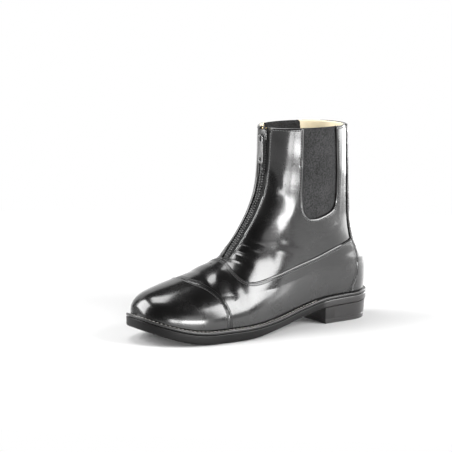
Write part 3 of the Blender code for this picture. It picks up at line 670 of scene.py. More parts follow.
def wall_depth(points):
    """How far places lie inside the edges of the upper's openings and below the collar."""
    return np.minimum(np.minimum(slot_depth(points), window_depth(points)), below_collar(points))


# Folds and ridges of the worn leather. Columns: sides (1 left, -1 right, 0 both), half width of the
# fold, height of the ridge or (negative) depth of the trough, and places (y, z) in side view
FOLDS = (
    (1, 2.4, -0.26, ((-93, 168), (-90, 151), (-87, 136))),
    (1, 2.0, 0.22, ((-97, 160), (-94, 147), (-92, 136))),
    (1, 2.8, -0.22, ((-84, 165), (-84, 148), (-83, 128), (-86, 112))),
    (1, 3.6, 0.20, ((-79, 150), (-78, 128), (-82, 110))),
    (1, 5.5, -0.24, ((-100, 96), (-84, 94), (-70, 88), (-52, 84))),
    (1, 4.5, 0.20, ((-113, 90), (-99, 93), (-83, 89), (-66, 82))),
    (1, 2.8, -0.14, ((-106, 86), (-92, 84), (-78, 80))),
    (1, 4.5, 0.18, ((-88, 124), (-81, 113), (-73, 104), (-60, 98))),
    (1, 5.5, -0.20, ((-82, 126), (-76, 112), (-66, 102), (-48, 96), (-30, 100))),
    (0, 1.6, 0.55, ((-16, 200), (-18, 152), (-18, 112), (-24, 103), (-36, 98), (-50, 97))),
    (1, 1.6, -0.40, ((-142, 78), (-136, 75), (-131, 70))),
    (1, 1.4, 0.50, ((-140, 83), (-133, 80), (-126, 75))),
    (1, 1.6, -0.38, ((-136, 87), (-129, 84), (-121, 80))),
    (1, 1.6, 0.50, ((-131, 91), (-124, 88), (-115, 85))),
    (1, 1.6, -0.40, ((-125, 96), (-118, 93), (-110, 90))),
    (0, 4.5, -0.80, ((-150, 66), (-156, 58), (-158, 48), (-154, 40))),
    (0, 3.5, 0.50, ((-158, 70), (-165, 61), (-168, 50))),
    (0, 3.0, -0.45, ((-170, 67), (-175, 58), (-178, 48))),
    (1, 5.0, -0.60, ((-20, 70), (-5, 74), (10, 72))),
    (-1, 5.0, -0.45, ((-104, 98), (-88, 95), (-72, 89), (-56, 86))),
    (-1, 4.0, 0.35, ((-112, 92), (-96, 91), (-80, 86))),
    (-1, 2.2, -0.50, ((-90, 160), (-88, 140), (-88, 122))),
    (-1, 5.0, -0.32, ((-80, 118), (-70, 104), (-52, 98), (-34, 100))),
    (-1, 1.6, -0.50, ((-141, 78), (-134, 76), (-127, 72))),
    (-1, 1.5, 0.45, ((-136, 86), (-128, 83), (-120, 79))),
)


def fold_height(points, amount):
    """How far folds push the leather out (or in, where negative) at each place."""
    height = np.zeros(points.shape[:-1])
    for side, width, rise, line in FOLDS:
        distance, along = line_distance(points[..., 1], points[..., 2], drawn_through(line, 6))
        taper = np.sqrt(np.clip(np.sin(np.clip(along, 0.02, 0.98) * math.pi), 0, 1))
        ridge = rise * taper * np.exp(-(distance / width) ** 2)
        if side:
            ridge = ridge * ease(points[..., 0] * side / 6.0 + 0.5)
        height += ridge
    swell = 0.16
    slow = (np.sin(points[..., 1] * 0.11 + points[..., 2] * 0.07 + points[..., 0] * 0.05)
            * np.sin(points[..., 2] * 0.13 - points[..., 1] * 0.05 + 1.3))
    behind_cap = ease((points[..., 1] + 175) / 60)
    return amount * (height + swell * slow * behind_cap)


class Sheet:
    """A piece of the form, trimmed where depth_of falls below zero, with its rim on the outline."""

    def __init__(self, s_values, t_values, depth_of):
        s, t = np.meshgrid(s_values, t_values, indexing="ij")
        depth = depth_of(surface(s, t))
        s, t, depth = self.snapped(s, t, depth)
        points = surface(s, t)
        out = normal(s, t)
        count = s.size
        spots = np.round(points.reshape(-1, 3) / 0.004).astype(np.int64)
        spots, first, joined = np.unique(spots, axis=0, return_index=True, return_inverse=True)
        joined = joined.reshape(s.shape)
        flat_depth = depth.reshape(-1)
        cells = self.cells(joined, depth)
        used = np.unique([corner for cell in cells for corner in cell])
        place = np.full(count, -1)
        place[used] = np.arange(len(used))
        pick = first[used]
        self.s = s.reshape(-1)[pick]
        self.t = t.reshape(-1)[pick]
        self.depth = np.maximum(flat_depth[pick], 0.0)
        self.points = points.reshape(-1, 3)[pick]
        self.out = out.reshape(-1, 3)[pick]
        self.faces = [[int(place[corner]) for corner in cell] for cell in cells]
        self.turn_outward()
        edges = {}
        for face in self.faces:
            for a, b in zip(face, face[1:] + face[:1]):
                edges[(a, b)] = True
        self.rim = [(a, b) for a, b in edges if (b, a) not in edges]
        self.on_rim = np.zeros(len(self.points), bool)
        for a, b in self.rim:
            self.on_rim[a] = True

    @staticmethod
    def snapped(s, t, depth):
        """Moves the nearer end of each grid edge that crosses the outline onto it."""
        s0, t0, d0 = s.copy(), t.copy(), depth.copy()
        best = np.full(s.shape, 0.51)
        low_rows, high_rows = (slice(None, -1), slice(None)), (slice(1, None), slice(None))
        low_columns, high_columns = (slice(None), slice(None, -1)), (slice(None), slice(1, None))
        for a, b in ((low_rows, high_rows), (low_columns, high_columns)):
            crossing = (d0[a] > 0) != (d0[b] > 0)
            share = np.where(crossing, d0[a] / np.where(crossing, d0[a] - d0[b], 1.0), 9.0)
            for near, far, part in ((a, b, share), (b, a, 1 - share)):
                take = crossing & (part < best[near])
                for value, base in ((s, s0), (t, t0)):
                    moved = value[near]
                    moved[take] = (base[near] + (base[far] - base[near]) * part)[take]
                near_best = best[near]
                near_best[take] = part[take]
                near_depth = depth[near]
                near_depth[take] = 0.0
        return s, t, depth

    @staticmethod
    def cells(joined, depth):
        """Faces of the grid's cells, whole or halved along the outline."""
        found = []
        rows, columns = depth.shape
        for i in range(rows - 1):
            for j in range(columns - 1):
                corners = ((i, j), (i + 1, j), (i + 1, j + 1), (i, j + 1))
                values = [depth[c] for c in corners]
                top = max(values)
                if top <= 0:
                    continue
                if min(values) >= 0:
                    cell = [int(joined[c]) for c in corners]
                else:
                    k = values.index(top)
                    sides = (k - 1) % 4, (k + 1) % 4
                    if values[sides[0]] < 0 or values[sides[1]] < 0:
                        continue
                    cell = [int(joined[corners[n]]) for n in (sides[0], k, sides[1])]
                cell = [c for n, c in enumerate(cell) if c != cell[n - 1]]
                if len(set(cell)) == len(cell) and len(cell) > 2:
                    found.append(cell)
        return found

    def turn_outward(self):
        face = self.faces[len(self.faces) // 2]
        a, b, c = (self.points[k] for k in face[:3])
        if np.dot(np.cross(b - a, c - a), self.out[face[0]]) < 0:
            self.faces = [cell[::-1] for cell in self.faces]


def steps(*stretches):
    """Values along the form, as stretches of (start, end, how many)."""
    parts = [np.linspace(a, b, n, endpoint=False) for a, b, n in stretches]
    return np.concatenate(parts + [np.array((stretches[-1][1],))])


def placed(name, data):
    """An object in the scene from a mesh, curve, lamp or camera."""
    thing = bpy.data.objects.new(name, data)
    bpy.context.scene.collection.objects.link(thing)
    return thing


def add_wall(name, sheet, outer, inner, materials, rim_drop):
    """A closed wall on a sheet of the form, between two offsets, with its rim rounded over."""
    count = len(sheet.points)
    outer = np.broadcast_to(outer, count) - rim_drop * sheet.on_rim
    inner = np.broadcast_to(inner, count)
    points = np.vstack((sheet.points + sheet.out * outer[:, None],
                        sheet.points + sheet.out * inner[:, None]))
    faces = [list(face) for face in sheet.faces]
    faces += [[k + count for k in face[::-1]] for face in sheet.faces]
    faces += [[b, a, a + count, b + count] for a, b in sheet.rim]
    mesh = bpy.data.meshes.new(name)
    mesh.from_pydata((points * MM).tolist(), [], faces)
    for material in materials:
        mesh.materials.append(material)
    inner_slot = len(materials) - 1
    slots = [0] * len(sheet.faces) + [inner_slot] * len(sheet.faces) + [0] * len(sheet.rim)
    mesh.polygons.foreach_set("use_smooth", [True] * len(faces))
    mesh.polygons.foreach_set("material_index", slots)
    edge = np.concatenate((sheet.depth, sheet.depth))
    mesh.attributes.new("edge", "FLOAT", "POINT").data.foreach_set("value", edge)
    mesh.update()
    return placed(name, mesh)


def ride(thing, slot, *nodes, body=BODY):
    """Puts a finished piece on its body and hides the imported parts of the nodes that it stands for."""
    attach(thing, body)
    if nodes:
        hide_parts(*nodes)
    return thing


class Socket:
    """A shader value. Arithmetic on it adds Math nodes to its material."""

    def __init__(self, shader, output):
        self.shader = shader
        self.output = output

    def __add__(self, other):
        return self.shader.math("ADD", self, other)

    __radd__ = __add__

    def __mul__(self, other):
        return self.shader.math("MULTIPLY", self, other)

    __rmul__ = __mul__

    def __sub__(self, other):
        return self.shader.math("SUBTRACT", self, other)

    def __rsub__(self, other):
        return self.shader.math("SUBTRACT", other, self)

    def __truediv__(self, other):
        return self.shader.math("DIVIDE", self, other)

    def __pow__(self, other):
        return self.shader.math("POWER", self, other)


class Shader:
    """A Principled material under construction."""

    def __init__(self, name, colour, roughness, **constants):
        self.material = bpy.data.materials.new(name)
        self.material.use_nodes = True
        self.tree = self.material.node_tree
        self.principled = self.tree.nodes["Principled BSDF"]
        self.principled.inputs["Base Color"].default_value = (*colour, 1.0)
        self.principled.inputs["Roughness"].default_value = roughness
        for label, value in constants.items():
            self.principled.inputs[label.replace("_", " ")].default_value = value
        self.place = self.node("ShaderNodeTexCoord", {}, {}, "Object")

    def node(self, kind, settings, inputs, output=0):
        """Adds a node with its settings and inputs, and gives one of its outputs."""
        node = self.tree.nodes.new(kind)
        for label, value in settings.items():
            setattr(node, label, value)
        for label, value in inputs.items():
            if isinstance(value, Socket):
                self.tree.links.new(value.output, node.inputs[label])
            else:
                node.inputs[label].default_value = value
        return Socket(self, node.outputs[output])

    def math(self, operation, a, b=0.0):
        return self.node("ShaderNodeMath", {"operation": operation}, {0: a, 1: b})

    def noise(self, scale, detail, place=None, distortion=0.0):
        return self.node("ShaderNodeTexNoise", {}, {"Vector": place or self.place, "Scale": scale,
                         "Detail": detail, "Distortion": distortion}, "Fac")

    def cells(self, size):
        return self.node("ShaderNodeTexVoronoi", {}, {"Vector": self.place, "Scale": 1.0 / size},
                         "Distance")

    def wave(self, letter, length):
        """Even waves along an axis, from -1 to 1."""
        return self.math("SINE", self.axis(letter) * (2 * math.pi / length))

    def stretched(self, x, y, z):
        """The place on the object with each axis scaled."""
        return self.node("ShaderNodeMapping", {}, {"Vector": self.place, "Scale": (x, y, z)})

    def axis(self, letter):
        return self.node("ShaderNodeSeparateXYZ", {}, {"Vector": self.place}, letter)

    def named(self, label):
        """A number stored on the piece's points."""
        return self.node("ShaderNodeAttribute", {"attribute_name": label}, {}, "Fac")

    def ramp(self, value, low, high, out_low=0.0, out_high=1.0):
        """A soft step of a value between two bounds."""
        return self.node("ShaderNodeMapRange", {"interpolation_type": "SMOOTHSTEP"},
                         {"Value": value, "From Min": low, "From Max": high,
                          "To Min": out_low, "To Max": out_high}, "Result")

    def bell(self, value, centre, width):
        """1 where a value is at the centre, falling off over the width."""
        away = (value - centre) / width
        return self.math("EXPONENT", self.math("MULTIPLY", away * away, -1.0))

    def mix(self, share, a, b):
        """A colour between two colours."""
        node = self.tree.nodes.new("ShaderNodeMix")
        node.data_type = "RGBA"
        self.tree.links.new(share.output, node.inputs[0])
        for slot, value in ((6, a), (7, b)):
            if isinstance(value, Socket):
                self.tree.links.new(value.output, node.inputs[slot])
            else:
                node.inputs[slot].default_value = (*value, 1.0)
        return Socket(self, node.outputs[2])

    def tones(self, share, colour, dark, light):
        """A colour between a darker and a lighter tone of it."""
        return self.mix(share, shade(colour, dark), shade(colour, light))

    def feed(self, label, value):
        self.tree.links.new(value.output, self.principled.inputs[label])

    def relief(self, height):
        """Bump from a height in millimetres."""
        self.feed("Normal", self.node("ShaderNodeBump", {}, {"Height": height, "Distance": MM,
                                                             "Strength": 1.0}, "Normal"))


def shade(colour, factor):
    return tuple(float(c) * factor for c in colour)


def polished_leather(name, look, *seams):
    """Glossy black calf leather, with sewn grooves at distances from the piece's edge."""
    shader = Shader(name, look.colour, look.roughness, Coat_Roughness=0.17, Specular_IOR_Level=0.24)
    pebble = shader.cells(look.grain)
    pore = shader.noise(900.0, 3.0)
    soft = shader.noise(45.0, 3.0, distortion=0.6)
    strain = shader.noise(1.0, 3.0, shader.stretched(150.0, 90.0, 260.0))
    crinkle = shader.noise(1.0, 4.0, shader.stretched(90.0, 70.0, 330.0), 0.4)
    height = shader.axis("Z")
    ankle = shader.bell(height, 0.093, 0.034) * shader.bell(shader.axis("Y"), -0.080, 0.050)
    edge = shader.named("edge")
    # Mask within about a millimetre of each piece's edge: rubbed wear, which roughens the edge, and a
    # painted highlight, which lightens its colour
    edge_wear_and_highlight = shader.ramp(edge, 0.0, 1.1, 1.0, 0.0)
    scuff = shader.ramp(height, 0.012, 0.05, 1.0, 0.0)
    base = shader.tones(shader.ramp(soft, 0.35, 0.7), look.colour, 0.75, 1.5)
    # The lighter colour along the edges is partly wear and partly a painted highlight on the edge
    shader.feed("Base Color", shader.mix(edge_wear_and_highlight * 0.5, base, shade(look.colour, 3.0)))
    rough = look.roughness * 0.75 + shader.ramp(soft, 0.3, 0.75, 0.0, 0.07) + pore * 0.05
    rough = rough + edge_wear_and_highlight * 0.14 + scuff * 0.05
    groove = shader.bell(edge, seams[0], GROOVE_WIDTH)
    for seam in seams[1:]:
        groove = groove + shader.bell(edge, seam, GROOVE_WIDTH)
    shader.feed("Roughness", rough + groove * 0.15)
    shader.feed("Coat Weight", (1.0 - groove) * look.coat)
    grain = pebble * (-0.020 * look.grain_depth) + pore * (0.010 * look.grain_depth)
    creases = soft * 0.26 + strain * 0.09 + crinkle * ankle * 0.34
    shader.relief(grain + creases - groove * 0.55)
    return shader.material


def lining_leather(name, look):
    """Smooth cream lining."""
    shader = Shader(name, look.colour, 0.6)
    soft = shader.noise(70.0, 4.0)
    shader.feed("Base Color", shader.tones(shader.ramp(soft, 0.3, 0.75), look.colour, 0.9, 1.06))
    shader.feed("Roughness", shader.ramp(soft, 0.3, 0.7, 0.52, 0.7))
    shader.relief(shader.cells(0.0012) * -0.02 + soft * 0.1)
    return shader.material


def sole_edge(name, look):
    """Black satin sole with fine lines ground along its side, and a glossier heel whose side is painted
    lighter: a painted reflection of the bright floor.
    """
    shader = Shader(name, look.colour, look.roughness, Specular_IOR_Level=0.2)
    # Mask of the heel's side: it gets a coat, and its colour is painted lighter below
    heel = shader.ramp(shader.axis("Y"), -0.040, -0.034)
    fine = shader.noise(1.0, 4.0, shader.stretched(60.0, 60.0, 900.0))
    speck = shader.noise(1400.0, 2.0)
    broad = shader.noise(26.0, 3.0)
    tone = shader.tones(shader.ramp(broad, 0.35, 0.7), look.colour, 0.8, 1.35)
    # Painted light: the heel's side is coloured 4.5 times lighter than the sole, a painted reflection of the
    # bright floor
    shader.feed("Base Color", shader.mix(heel, tone, shade(look.colour, 4.5)))
    shader.feed("Roughness", look.roughness + shader.ramp(broad, 0.3, 0.7, -0.05, 0.07) + speck * 0.06)
    shader.feed("Coat Weight", heel * 0.6)
    shader.relief(fine * 0.05 + speck * 0.02 + broad * 0.1)
    return shader.material


def welt_leather(name, look):
    """Satin black welt."""
    shader = Shader(name, look.colour, look.roughness * 0.9, Coat_Weight=0.25, Coat_Roughness=0.2)
    pore = shader.noise(1100.0, 3.0)
    broad = shader.noise(40.0, 3.0)
    shader.feed("Base Color", shader.tones(shader.ramp(broad, 0.3, 0.7), look.colour, 0.8, 1.4))
    shader.feed("Roughness", look.roughness * 0.8 + pore * 0.12)
    shader.relief(pore * 0.03 + broad * 0.08)
    return shader.material


def ribbed_elastic(name, look):
    """Black elastic with fine upright ribs and a woven ground."""
    shader = Shader(name, look.colour, 0.88, Specular_IOR_Level=0.22)
    rib = shader.wave("Y", look.rib)
    pick = shader.wave("Z", look.rib * 0.62)
    fuzz = shader.noise(1500.0, 3.0)
    broad = shader.noise(45.0, 4.0)
    speck = shader.noise(650.0, 3.0)
    tone = shader.ramp(rib * 0.25 + pick * 0.15 + speck * 2.2 + broad * 0.8, 0.9, 2.2)
    shader.feed("Base Color", shader.tones(tone, look.colour, 0.25, 2.4))
    shader.feed("Roughness", shader.ramp(fuzz, 0.3, 0.7, 0.8, 0.95))
    shader.relief(rib * 0.12 + pick * 0.05 + fuzz * 0.08)
    return shader.material


def woven_tape(name, look):
    """Black woven zip tape."""
    shader = Shader(name, look.tape_colour, 0.8, Sheen_Weight=0.3)
    weave = shader.wave("X", 0.0007) * shader.wave("Z", 0.0009)
    fuzz = shader.noise(1800.0, 2.0)
    shader.feed("Base Color", shader.tones(shader.ramp(weave + fuzz, 0.0, 1.4), look.tape_colour, 0.7, 1.7))
    shader.feed("Roughness", shader.ramp(fuzz, 0.3, 0.7, 0.72, 0.9))
    shader.relief(weave * 0.06 + fuzz * 0.04)
    return shader.material


def zip_metal(name, colour, roughness):
    """Cast zip metal with fine handling marks."""
    shader = Shader(name, colour, roughness, Metallic=1.0)
    cast = shader.noise(600.0, 4.0)
    rub = shader.noise(1.0, 3.0, shader.stretched(900.0, 900.0, 120.0))
    shader.feed("Base Color", shader.tones(shader.ramp(cast, 0.3, 0.7), colour, 0.82, 1.1))
    shader.feed("Roughness", roughness + cast * 0.12 + rub * 0.08 - 0.08)
    shader.relief(cast * 0.02 + rub * 0.008)
    return shader.material


def waxed_thread(name, colour):
    """Twisted waxed thread."""
    shader = Shader(name, colour, 0.5, Sheen_Weight=0.2)
    twist = shader.noise(2200.0, 2.0)
    shader.feed("Base Color", shader.tones(shader.ramp(twist, 0.3, 0.7), colour, 0.7, 1.25))
    shader.feed("Roughness", shader.ramp(twist, 0.3, 0.7, 0.4, 0.62))
    shader.relief(twist * 0.04)
    return shader.material


def kit_of(name, maker, *arguments):
    """A material by name, made once."""
    return bpy.data.materials.get(name) or maker(name, *arguments)


class Tree:
    """A Geometry Nodes tree under construction, with named inputs for its sizes."""

    def __init__(self, name):
        self.group = bpy.data.node_groups.new(name, "GeometryNodeTree")
        inputs = [(label, "Float") for label in ("Pitch", "Length", "Width", "Height")]
        for label, kind in [("Geometry", "Geometry")] + inputs + [("Material", "Material")]:
            self.group.interface.new_socket(label, in_out="INPUT", socket_type="NodeSocket" + kind)
        self.group.interface.new_socket("Geometry", in_out="OUTPUT", socket_type="NodeSocketGeometry")
        self.start = self.group.nodes.new("NodeGroupInput")

    def node(self, kind, settings=None, links=None):
        node = self.group.nodes.new(kind)
        for label, value in (settings or {}).items():
            setattr(node, label, value)
        for label, value in (links or {}).items():
            if isinstance(value, bpy.types.NodeSocket):
                self.group.links.new(value, node.inputs[label])
            else:
                node.inputs[label].default_value = value
        return node

    def size(self):
        """The tree's length, width and height as one vector."""
        sides = zip("XYZ", ("Length", "Width", "Height"))
        return self.node("ShaderNodeCombineXYZ",
                         links={axis: self.start.outputs[label] for axis, label in sides}).outputs[0]

    def close(self, geometry):
        """Ends the tree: instances made real, shaded smooth, with the material set."""
        real = self.node("GeometryNodeRealizeInstances", links={"Geometry": geometry})
        soft = self.node("GeometryNodeSetShadeSmooth", links={"Geometry": real.outputs[0]})
        painted = self.node("GeometryNodeSetMaterial", links={"Geometry": soft.outputs[0],
                            "Material": self.start.outputs["Material"]})
        end = self.group.nodes.new("NodeGroupOutput")
        self.group.links.new(painted.outputs[0], end.inputs[0])
        return self.group


def repeat_along(name, shape):
    """A tree that sets a small shape along lines, turned by their direction and stored lift."""
    tree = Tree(name)
    curve = tree.node("GeometryNodeMeshToCurve", links={"Mesh": tree.start.outputs["Geometry"]})
    even = tree.node("GeometryNodeResampleCurve", {"mode": "LENGTH"},
                     {"Curve": curve.outputs[0], "Length": tree.start.outputs["Pitch"]})
    lift = tree.node("GeometryNodeInputNamedAttribute", {"data_type": "FLOAT_VECTOR"}, {"Name": "lift"})
    tangent = tree.node("GeometryNodeInputTangent")
    turn = tree.node("FunctionNodeAxesToRotation", {"primary_axis": "X", "secondary_axis": "Z"},
                     {"Primary Axis": tangent.outputs[0], "Secondary Axis": lift.outputs[0]})
    piece = shape(tree)
    spread = tree.node("GeometryNodeInstanceOnPoints", links={"Points": even.outputs[0], "Instance": piece,
                       "Rotation": turn.outputs[0]})
    return tree.close(spread.outputs[0])


def stitch_shape(tree):
    """A stitch: a slim rounded rod."""
    ball = tree.node("GeometryNodeMeshUVSphere", links={"Segments": 8, "Rings": 5, "Radius": 0.5})
    return tree.node("GeometryNodeTransform", links={"Geometry": ball.outputs[0],
                     "Scale": tree.size()}).outputs[0]


def tooth_shape(tree):
    """A zip tooth: a small block, softened, that reaches across the chain."""
    block = tree.node("GeometryNodeMeshCube", links={"Size": tree.size()})
    return tree.node("GeometryNodeSubdivisionSurface", links={"Mesh": block.outputs[0], "Level": 1,
                     "Edge Crease": 0.45}).outputs[0]


def finished_mesh(name, source):
    """The plain mesh that an object's curve or modifiers make. The object is removed."""
    graph = bpy.context.evaluated_depsgraph_get()
    made = bpy.data.meshes.new_from_object(source.evaluated_get(graph))
    bpy.data.objects.remove(source)
    if len(made.polygons) == 0:
        raise RuntimeError(name + " came out empty")
    made.name = name
    return made


def grow_lines(name, lines, group, sizes, material):
    """Runs a tree over lines of (points, lifts) in millimetres and keeps the result as a mesh."""
    points, lifts, edges = [], [], []
    for line, lift in lines:
        start = len(points)
        points += [tuple(p * MM) for p in line]
        lifts += [tuple(d) for d in lift]
        edges += [(k, k + 1) for k in range(start, len(points) - 1)]
    mesh = bpy.data.meshes.new(name + "_lines")
    mesh.from_pydata(points, edges, [])
    mesh.attributes.new("lift", "FLOAT_VECTOR", "POINT").data.foreach_set("vector", np.ravel(lifts))
    source = placed(name + "_lines", mesh)
    change = source.modifiers.new("repeat", "NODES")
    change.node_group = group
    values = dict(zip(("Pitch", "Length", "Width", "Height"), sizes), Material=material)
    for item in group.interface.items_tree:
        if item.in_out == "INPUT" and item.name in values:
            change[item.identifier] = values[item.name]
    source.update_tag()
    bpy.context.view_layer.update()
    return placed(name, finished_mesh(name, source))


def even_line(points, lifts, spacing=0.8):
    """A line of points and lifts at even spacing."""
    reach = reach_along(points)
    at = np.linspace(0, reach[-1], max(2, int(reach[-1] / spacing)))
    line = np.stack([np.interp(at, reach, points[:, k]) for k in range(3)], -1)
    lift = np.stack([np.interp(at, reach, lifts[:, k]) for k in range(3)], -1)
    return line, lift / np.linalg.norm(lift, axis=1, keepdims=True)


def laid(line, side, offset, shift, folds):
    """A side-view line, moved sideways by the shift and laid on the form at an offset."""
    spacing, from_ridge, from_collar, from_welt = 0.25, 0.05, 1.0, 1.0
    reach = reach_along(line)
    at = np.linspace(0, reach[-1], max(20, int(reach[-1] / spacing)))
    y = np.interp(at, reach, line[:, 0])
    z = np.interp(at, reach, line[:, 1])
    dy, dz = np.gradient(y), np.gradient(z)
    size = np.hypot(dy, dz)
    y = y + dz / size * shift
    z = z - dy / size * shift
    highest = np.minimum(top_z(y) - from_ridge, BOOT_HEIGHT - from_collar)
    keep = (z < highest) & (z > feather(y) + from_welt)
    points, out = on_form(y[keep], z[keep], side)
    return even_line(points + out * (offset + fold_height(points, folds)[:, None]), out)


# Floor, in metres: its half depth and half width, how far back its middle lies, and where it fades
FLOOR_DEEP = 0.58
FLOOR_WIDE = 1.4
FLOOR_BACK = 0.1
FLOOR_FADE = (0.20, 0.42)

# Lights, as soft boxes that face the boot. Columns: name, direction round the boot and above the
# floor in degrees, distance, width and height in metres, power in watts
LIGHTS = (
    ("left box", -32.0, 28.0, 1.5, 0.95, 1.20, 40.0),
    ("right box", 122.0, 26.0, 1.5, 0.8, 1.0, 37.0),
    ("back strip", 150.0, 7.0, 0.9, 0.40, 0.36, 2.4),
    ("far strip", 176.0, 7.0, 0.9, 0.40, 0.36, 1.8),
    ("rim strip", -162.0, 6.0, 1.1, 0.30, 0.5, 4.0),
    ("low strip", 80.0, 1.0, 1.1, 0.56, 0.18, 9.0),
    ("low corner", 57.0, 1.0, 1.1, 0.24, 0.18, 2.4),
    ("fill box", 84.0, 14.0, 1.7, 0.7, 0.7, 2.6),
    ("top box", -42.0, 74.0, 1.4, 0.65, 0.6, 11.0),
)
AIM = (0.0, -0.11, 0.09)

# The camera, found from the boot's edges in the photograph, in degrees and millimetres
CAMERA_TURN = 51.6
CAMERA_HEIGHT = 426.51496
CAMERA_DISTANCE = 1929.53132
CAMERA_PULL = 1.0
CAMERA_PITCH = 9.72051022
CAMERA_YAW = 3.41949666
CAMERA_ROLL = 0.43571451
CAMERA_LENS = 145.15
SENSOR_WIDTH = 36.0


class BootLeather(bpy.types.PropertyGroup):
    """Sizes and finish of the polished leather."""

    colour: FloatVectorProperty(name="Colour", description="Colour of the polished leather",
                                subtype="COLOR", size=3, min=0, max=1, default=(0.0022, 0.0021, 0.0021))
    roughness: FloatProperty(name="Roughness", description="How dull the polish is",
                             subtype="FACTOR", min=0, max=1, default=0.26)
    coat: FloatProperty(name="Coat", description="Weight of the clear polish on top",
                        subtype="FACTOR", min=0, max=1, default=1.0)
    grain: FloatProperty(name="Grain", description="Size of the leather's pebbles",
                         subtype="DISTANCE", unit="LENGTH", default=0.0009)
    grain_depth: FloatProperty(name="Grain depth", description="Depth of the leather's pebbles",
                               min=0, max=4, default=1.0)
    folds: FloatProperty(name="Folds", description="Strength of the worn-in folds",
                         min=0, max=2, default=1.0)


class BootLining(bpy.types.PropertyGroup):
    """Finish of the lining and the insole."""

    colour: FloatVectorProperty(name="Colour", description="Colour of the lining leather",
                                subtype="COLOR", size=3, min=0, max=1, default=(0.86, 0.76, 0.55))


class BootElastic(bpy.types.PropertyGroup):
    """Finish of the elastic sides."""

    colour: FloatVectorProperty(name="Colour", description="Colour of the elastic",
                                subtype="COLOR", size=3, min=0, max=1, default=(0.017, 0.017, 0.0174))
    rib: FloatProperty(name="Rib", description="Distance from rib to rib",
                       subtype="DISTANCE", unit="LENGTH", default=0.0013)


class BootSole(bpy.types.PropertyGroup):
    """Finish of the sole, heel and welt."""

    colour: FloatVectorProperty(name="Colour", description="Colour of the sole's edge",
                                subtype="COLOR", size=3, min=0, max=1, default=(0.003, 0.0028, 0.0028))
    roughness: FloatProperty(name="Roughness", description="How dull the sole's edge is",
                             subtype="FACTOR", min=0, max=1, default=0.36)
    groove: FloatProperty(name="Groove", description="Depth of the sewn groove in the welt",
                          subtype="DISTANCE", unit="LENGTH", default=0.0004)


class BootZip(bpy.types.PropertyGroup):
    """Sizes and finish of the zip."""

    metal_colour: FloatVectorProperty(name="Slider", description="Colour of the slider and pull tab",
                                      subtype="COLOR", size=3, min=0, max=1, default=(0.13, 0.13, 0.13))
    tooth_colour: FloatVectorProperty(name="Teeth", description="Colour of the teeth",
                                      subtype="COLOR", size=3, min=0, max=1, default=(0.11, 0.11, 0.11))
    stop_colour: FloatVectorProperty(name="Stops", description="Colour of the top stops",
                                     subtype="COLOR", size=3, min=0, max=1, default=(0.66, 0.50, 0.26))
    tape_colour: FloatVectorProperty(name="Tape", description="Colour of the tape",
                                     subtype="COLOR", size=3, min=0, max=1, default=(0.006, 0.006, 0.0062))
    pitch: FloatProperty(name="Pitch", description="Distance from tooth to tooth on one side",
                         subtype="DISTANCE", unit="LENGTH", default=0.0026)


class BootStitching(bpy.types.PropertyGroup):
    """Sizes and colours of the stitching."""

    pitch: FloatProperty(name="Pitch", description="Distance from stitch to stitch in the upper",
                         subtype="DISTANCE", unit="LENGTH", default=0.0027)
    width: FloatProperty(name="Width", description="Thickness of the upper's thread",
                         subtype="DISTANCE", unit="LENGTH", default=0.00075)
    welt_pitch: FloatProperty(name="Welt pitch", description="Distance from stitch to stitch in the welt",
                              subtype="DISTANCE", unit="LENGTH", default=0.0043)
    colour: FloatVectorProperty(name="Colour", description="Colour of the upper's thread",
                                subtype="COLOR", size=3, min=0, max=1, default=(0.045, 0.045, 0.045))
    border_colour: FloatVectorProperty(name="Border", description="Colour of the thread at the openings",
                                       subtype="COLOR", size=3, min=0, max=1, default=(0.085, 0.085, 0.085))
    welt_colour: FloatVectorProperty(name="Welt", description="Colour of the welt's thread",
                                     subtype="COLOR", size=3, min=0, max=1, default=(0.38, 0.36, 0.33))


class BootStage(bpy.types.PropertyGroup):
    """Floor, backdrop and lights."""

    floor_colour: FloatVectorProperty(name="Floor", description="Colour of the floor",
                                      subtype="COLOR", size=3, min=0, max=1, default=(0.58, 0.58, 0.58))
    strength: FloatProperty(name="Light", description="Strength of all the lights together",
                            min=0, max=10, default=1.0)
    surround: FloatProperty(name="Surround", description="Brightness of the room around",
                            min=0, max=4, default=0.05)
    turn: FloatProperty(name="Turn", description="Direction of the camera round the boot",
                        subtype="ANGLE", default=math.radians(CAMERA_TURN))


def sole_loop(tip, back, inset, height, lift, start=None):
    """One closed loop round the sole: left edge from the front to the back, then the right edge."""
    stations = 150
    front = tip if start is None else start
    turn = np.linspace(0, math.pi, stations + 1)
    share = (1 - np.cos(turn)) / 2 if start is None else np.sin(turn / 2)
    y = front + (back - front) * share
    middle, left, right = plan(y, tip, back, inset)
    z = height(y) + lift
    return np.vstack((np.stack((middle + left, y, z), -1), np.stack((middle - right, y, z), -1)[::-1]))


def edge_loop(inset, height, lift):
    return sole_loop(TOE_TIP + inset, HEEL_BACK - inset, inset, height, lift)


def feather_loop(inset, height, lift):
    return sole_loop(FEATHER_TIP + inset, FEATHER_BACK - inset, WELT_EDGE_SIDE + inset, height, lift)


def finished(name, bm, material, weld=0.0, sharp=0.0):
    """A smooth-shaded piece from a mesh under construction, sharp above an angle in degrees."""
    if weld:
        bmesh.ops.remove_doubles(bm, verts=bm.verts, dist=weld * MM)
        bmesh.ops.recalc_face_normals(bm, faces=bm.faces)
    for face in bm.faces:
        face.smooth = True
    mesh = bpy.data.meshes.new(name)
    bm.to_mesh(mesh)
    bm.free()
    if sharp:
        mesh.set_sharp_from_angle(angle=math.radians(sharp))
    mesh.materials.append(material)
    return placed(name, mesh)


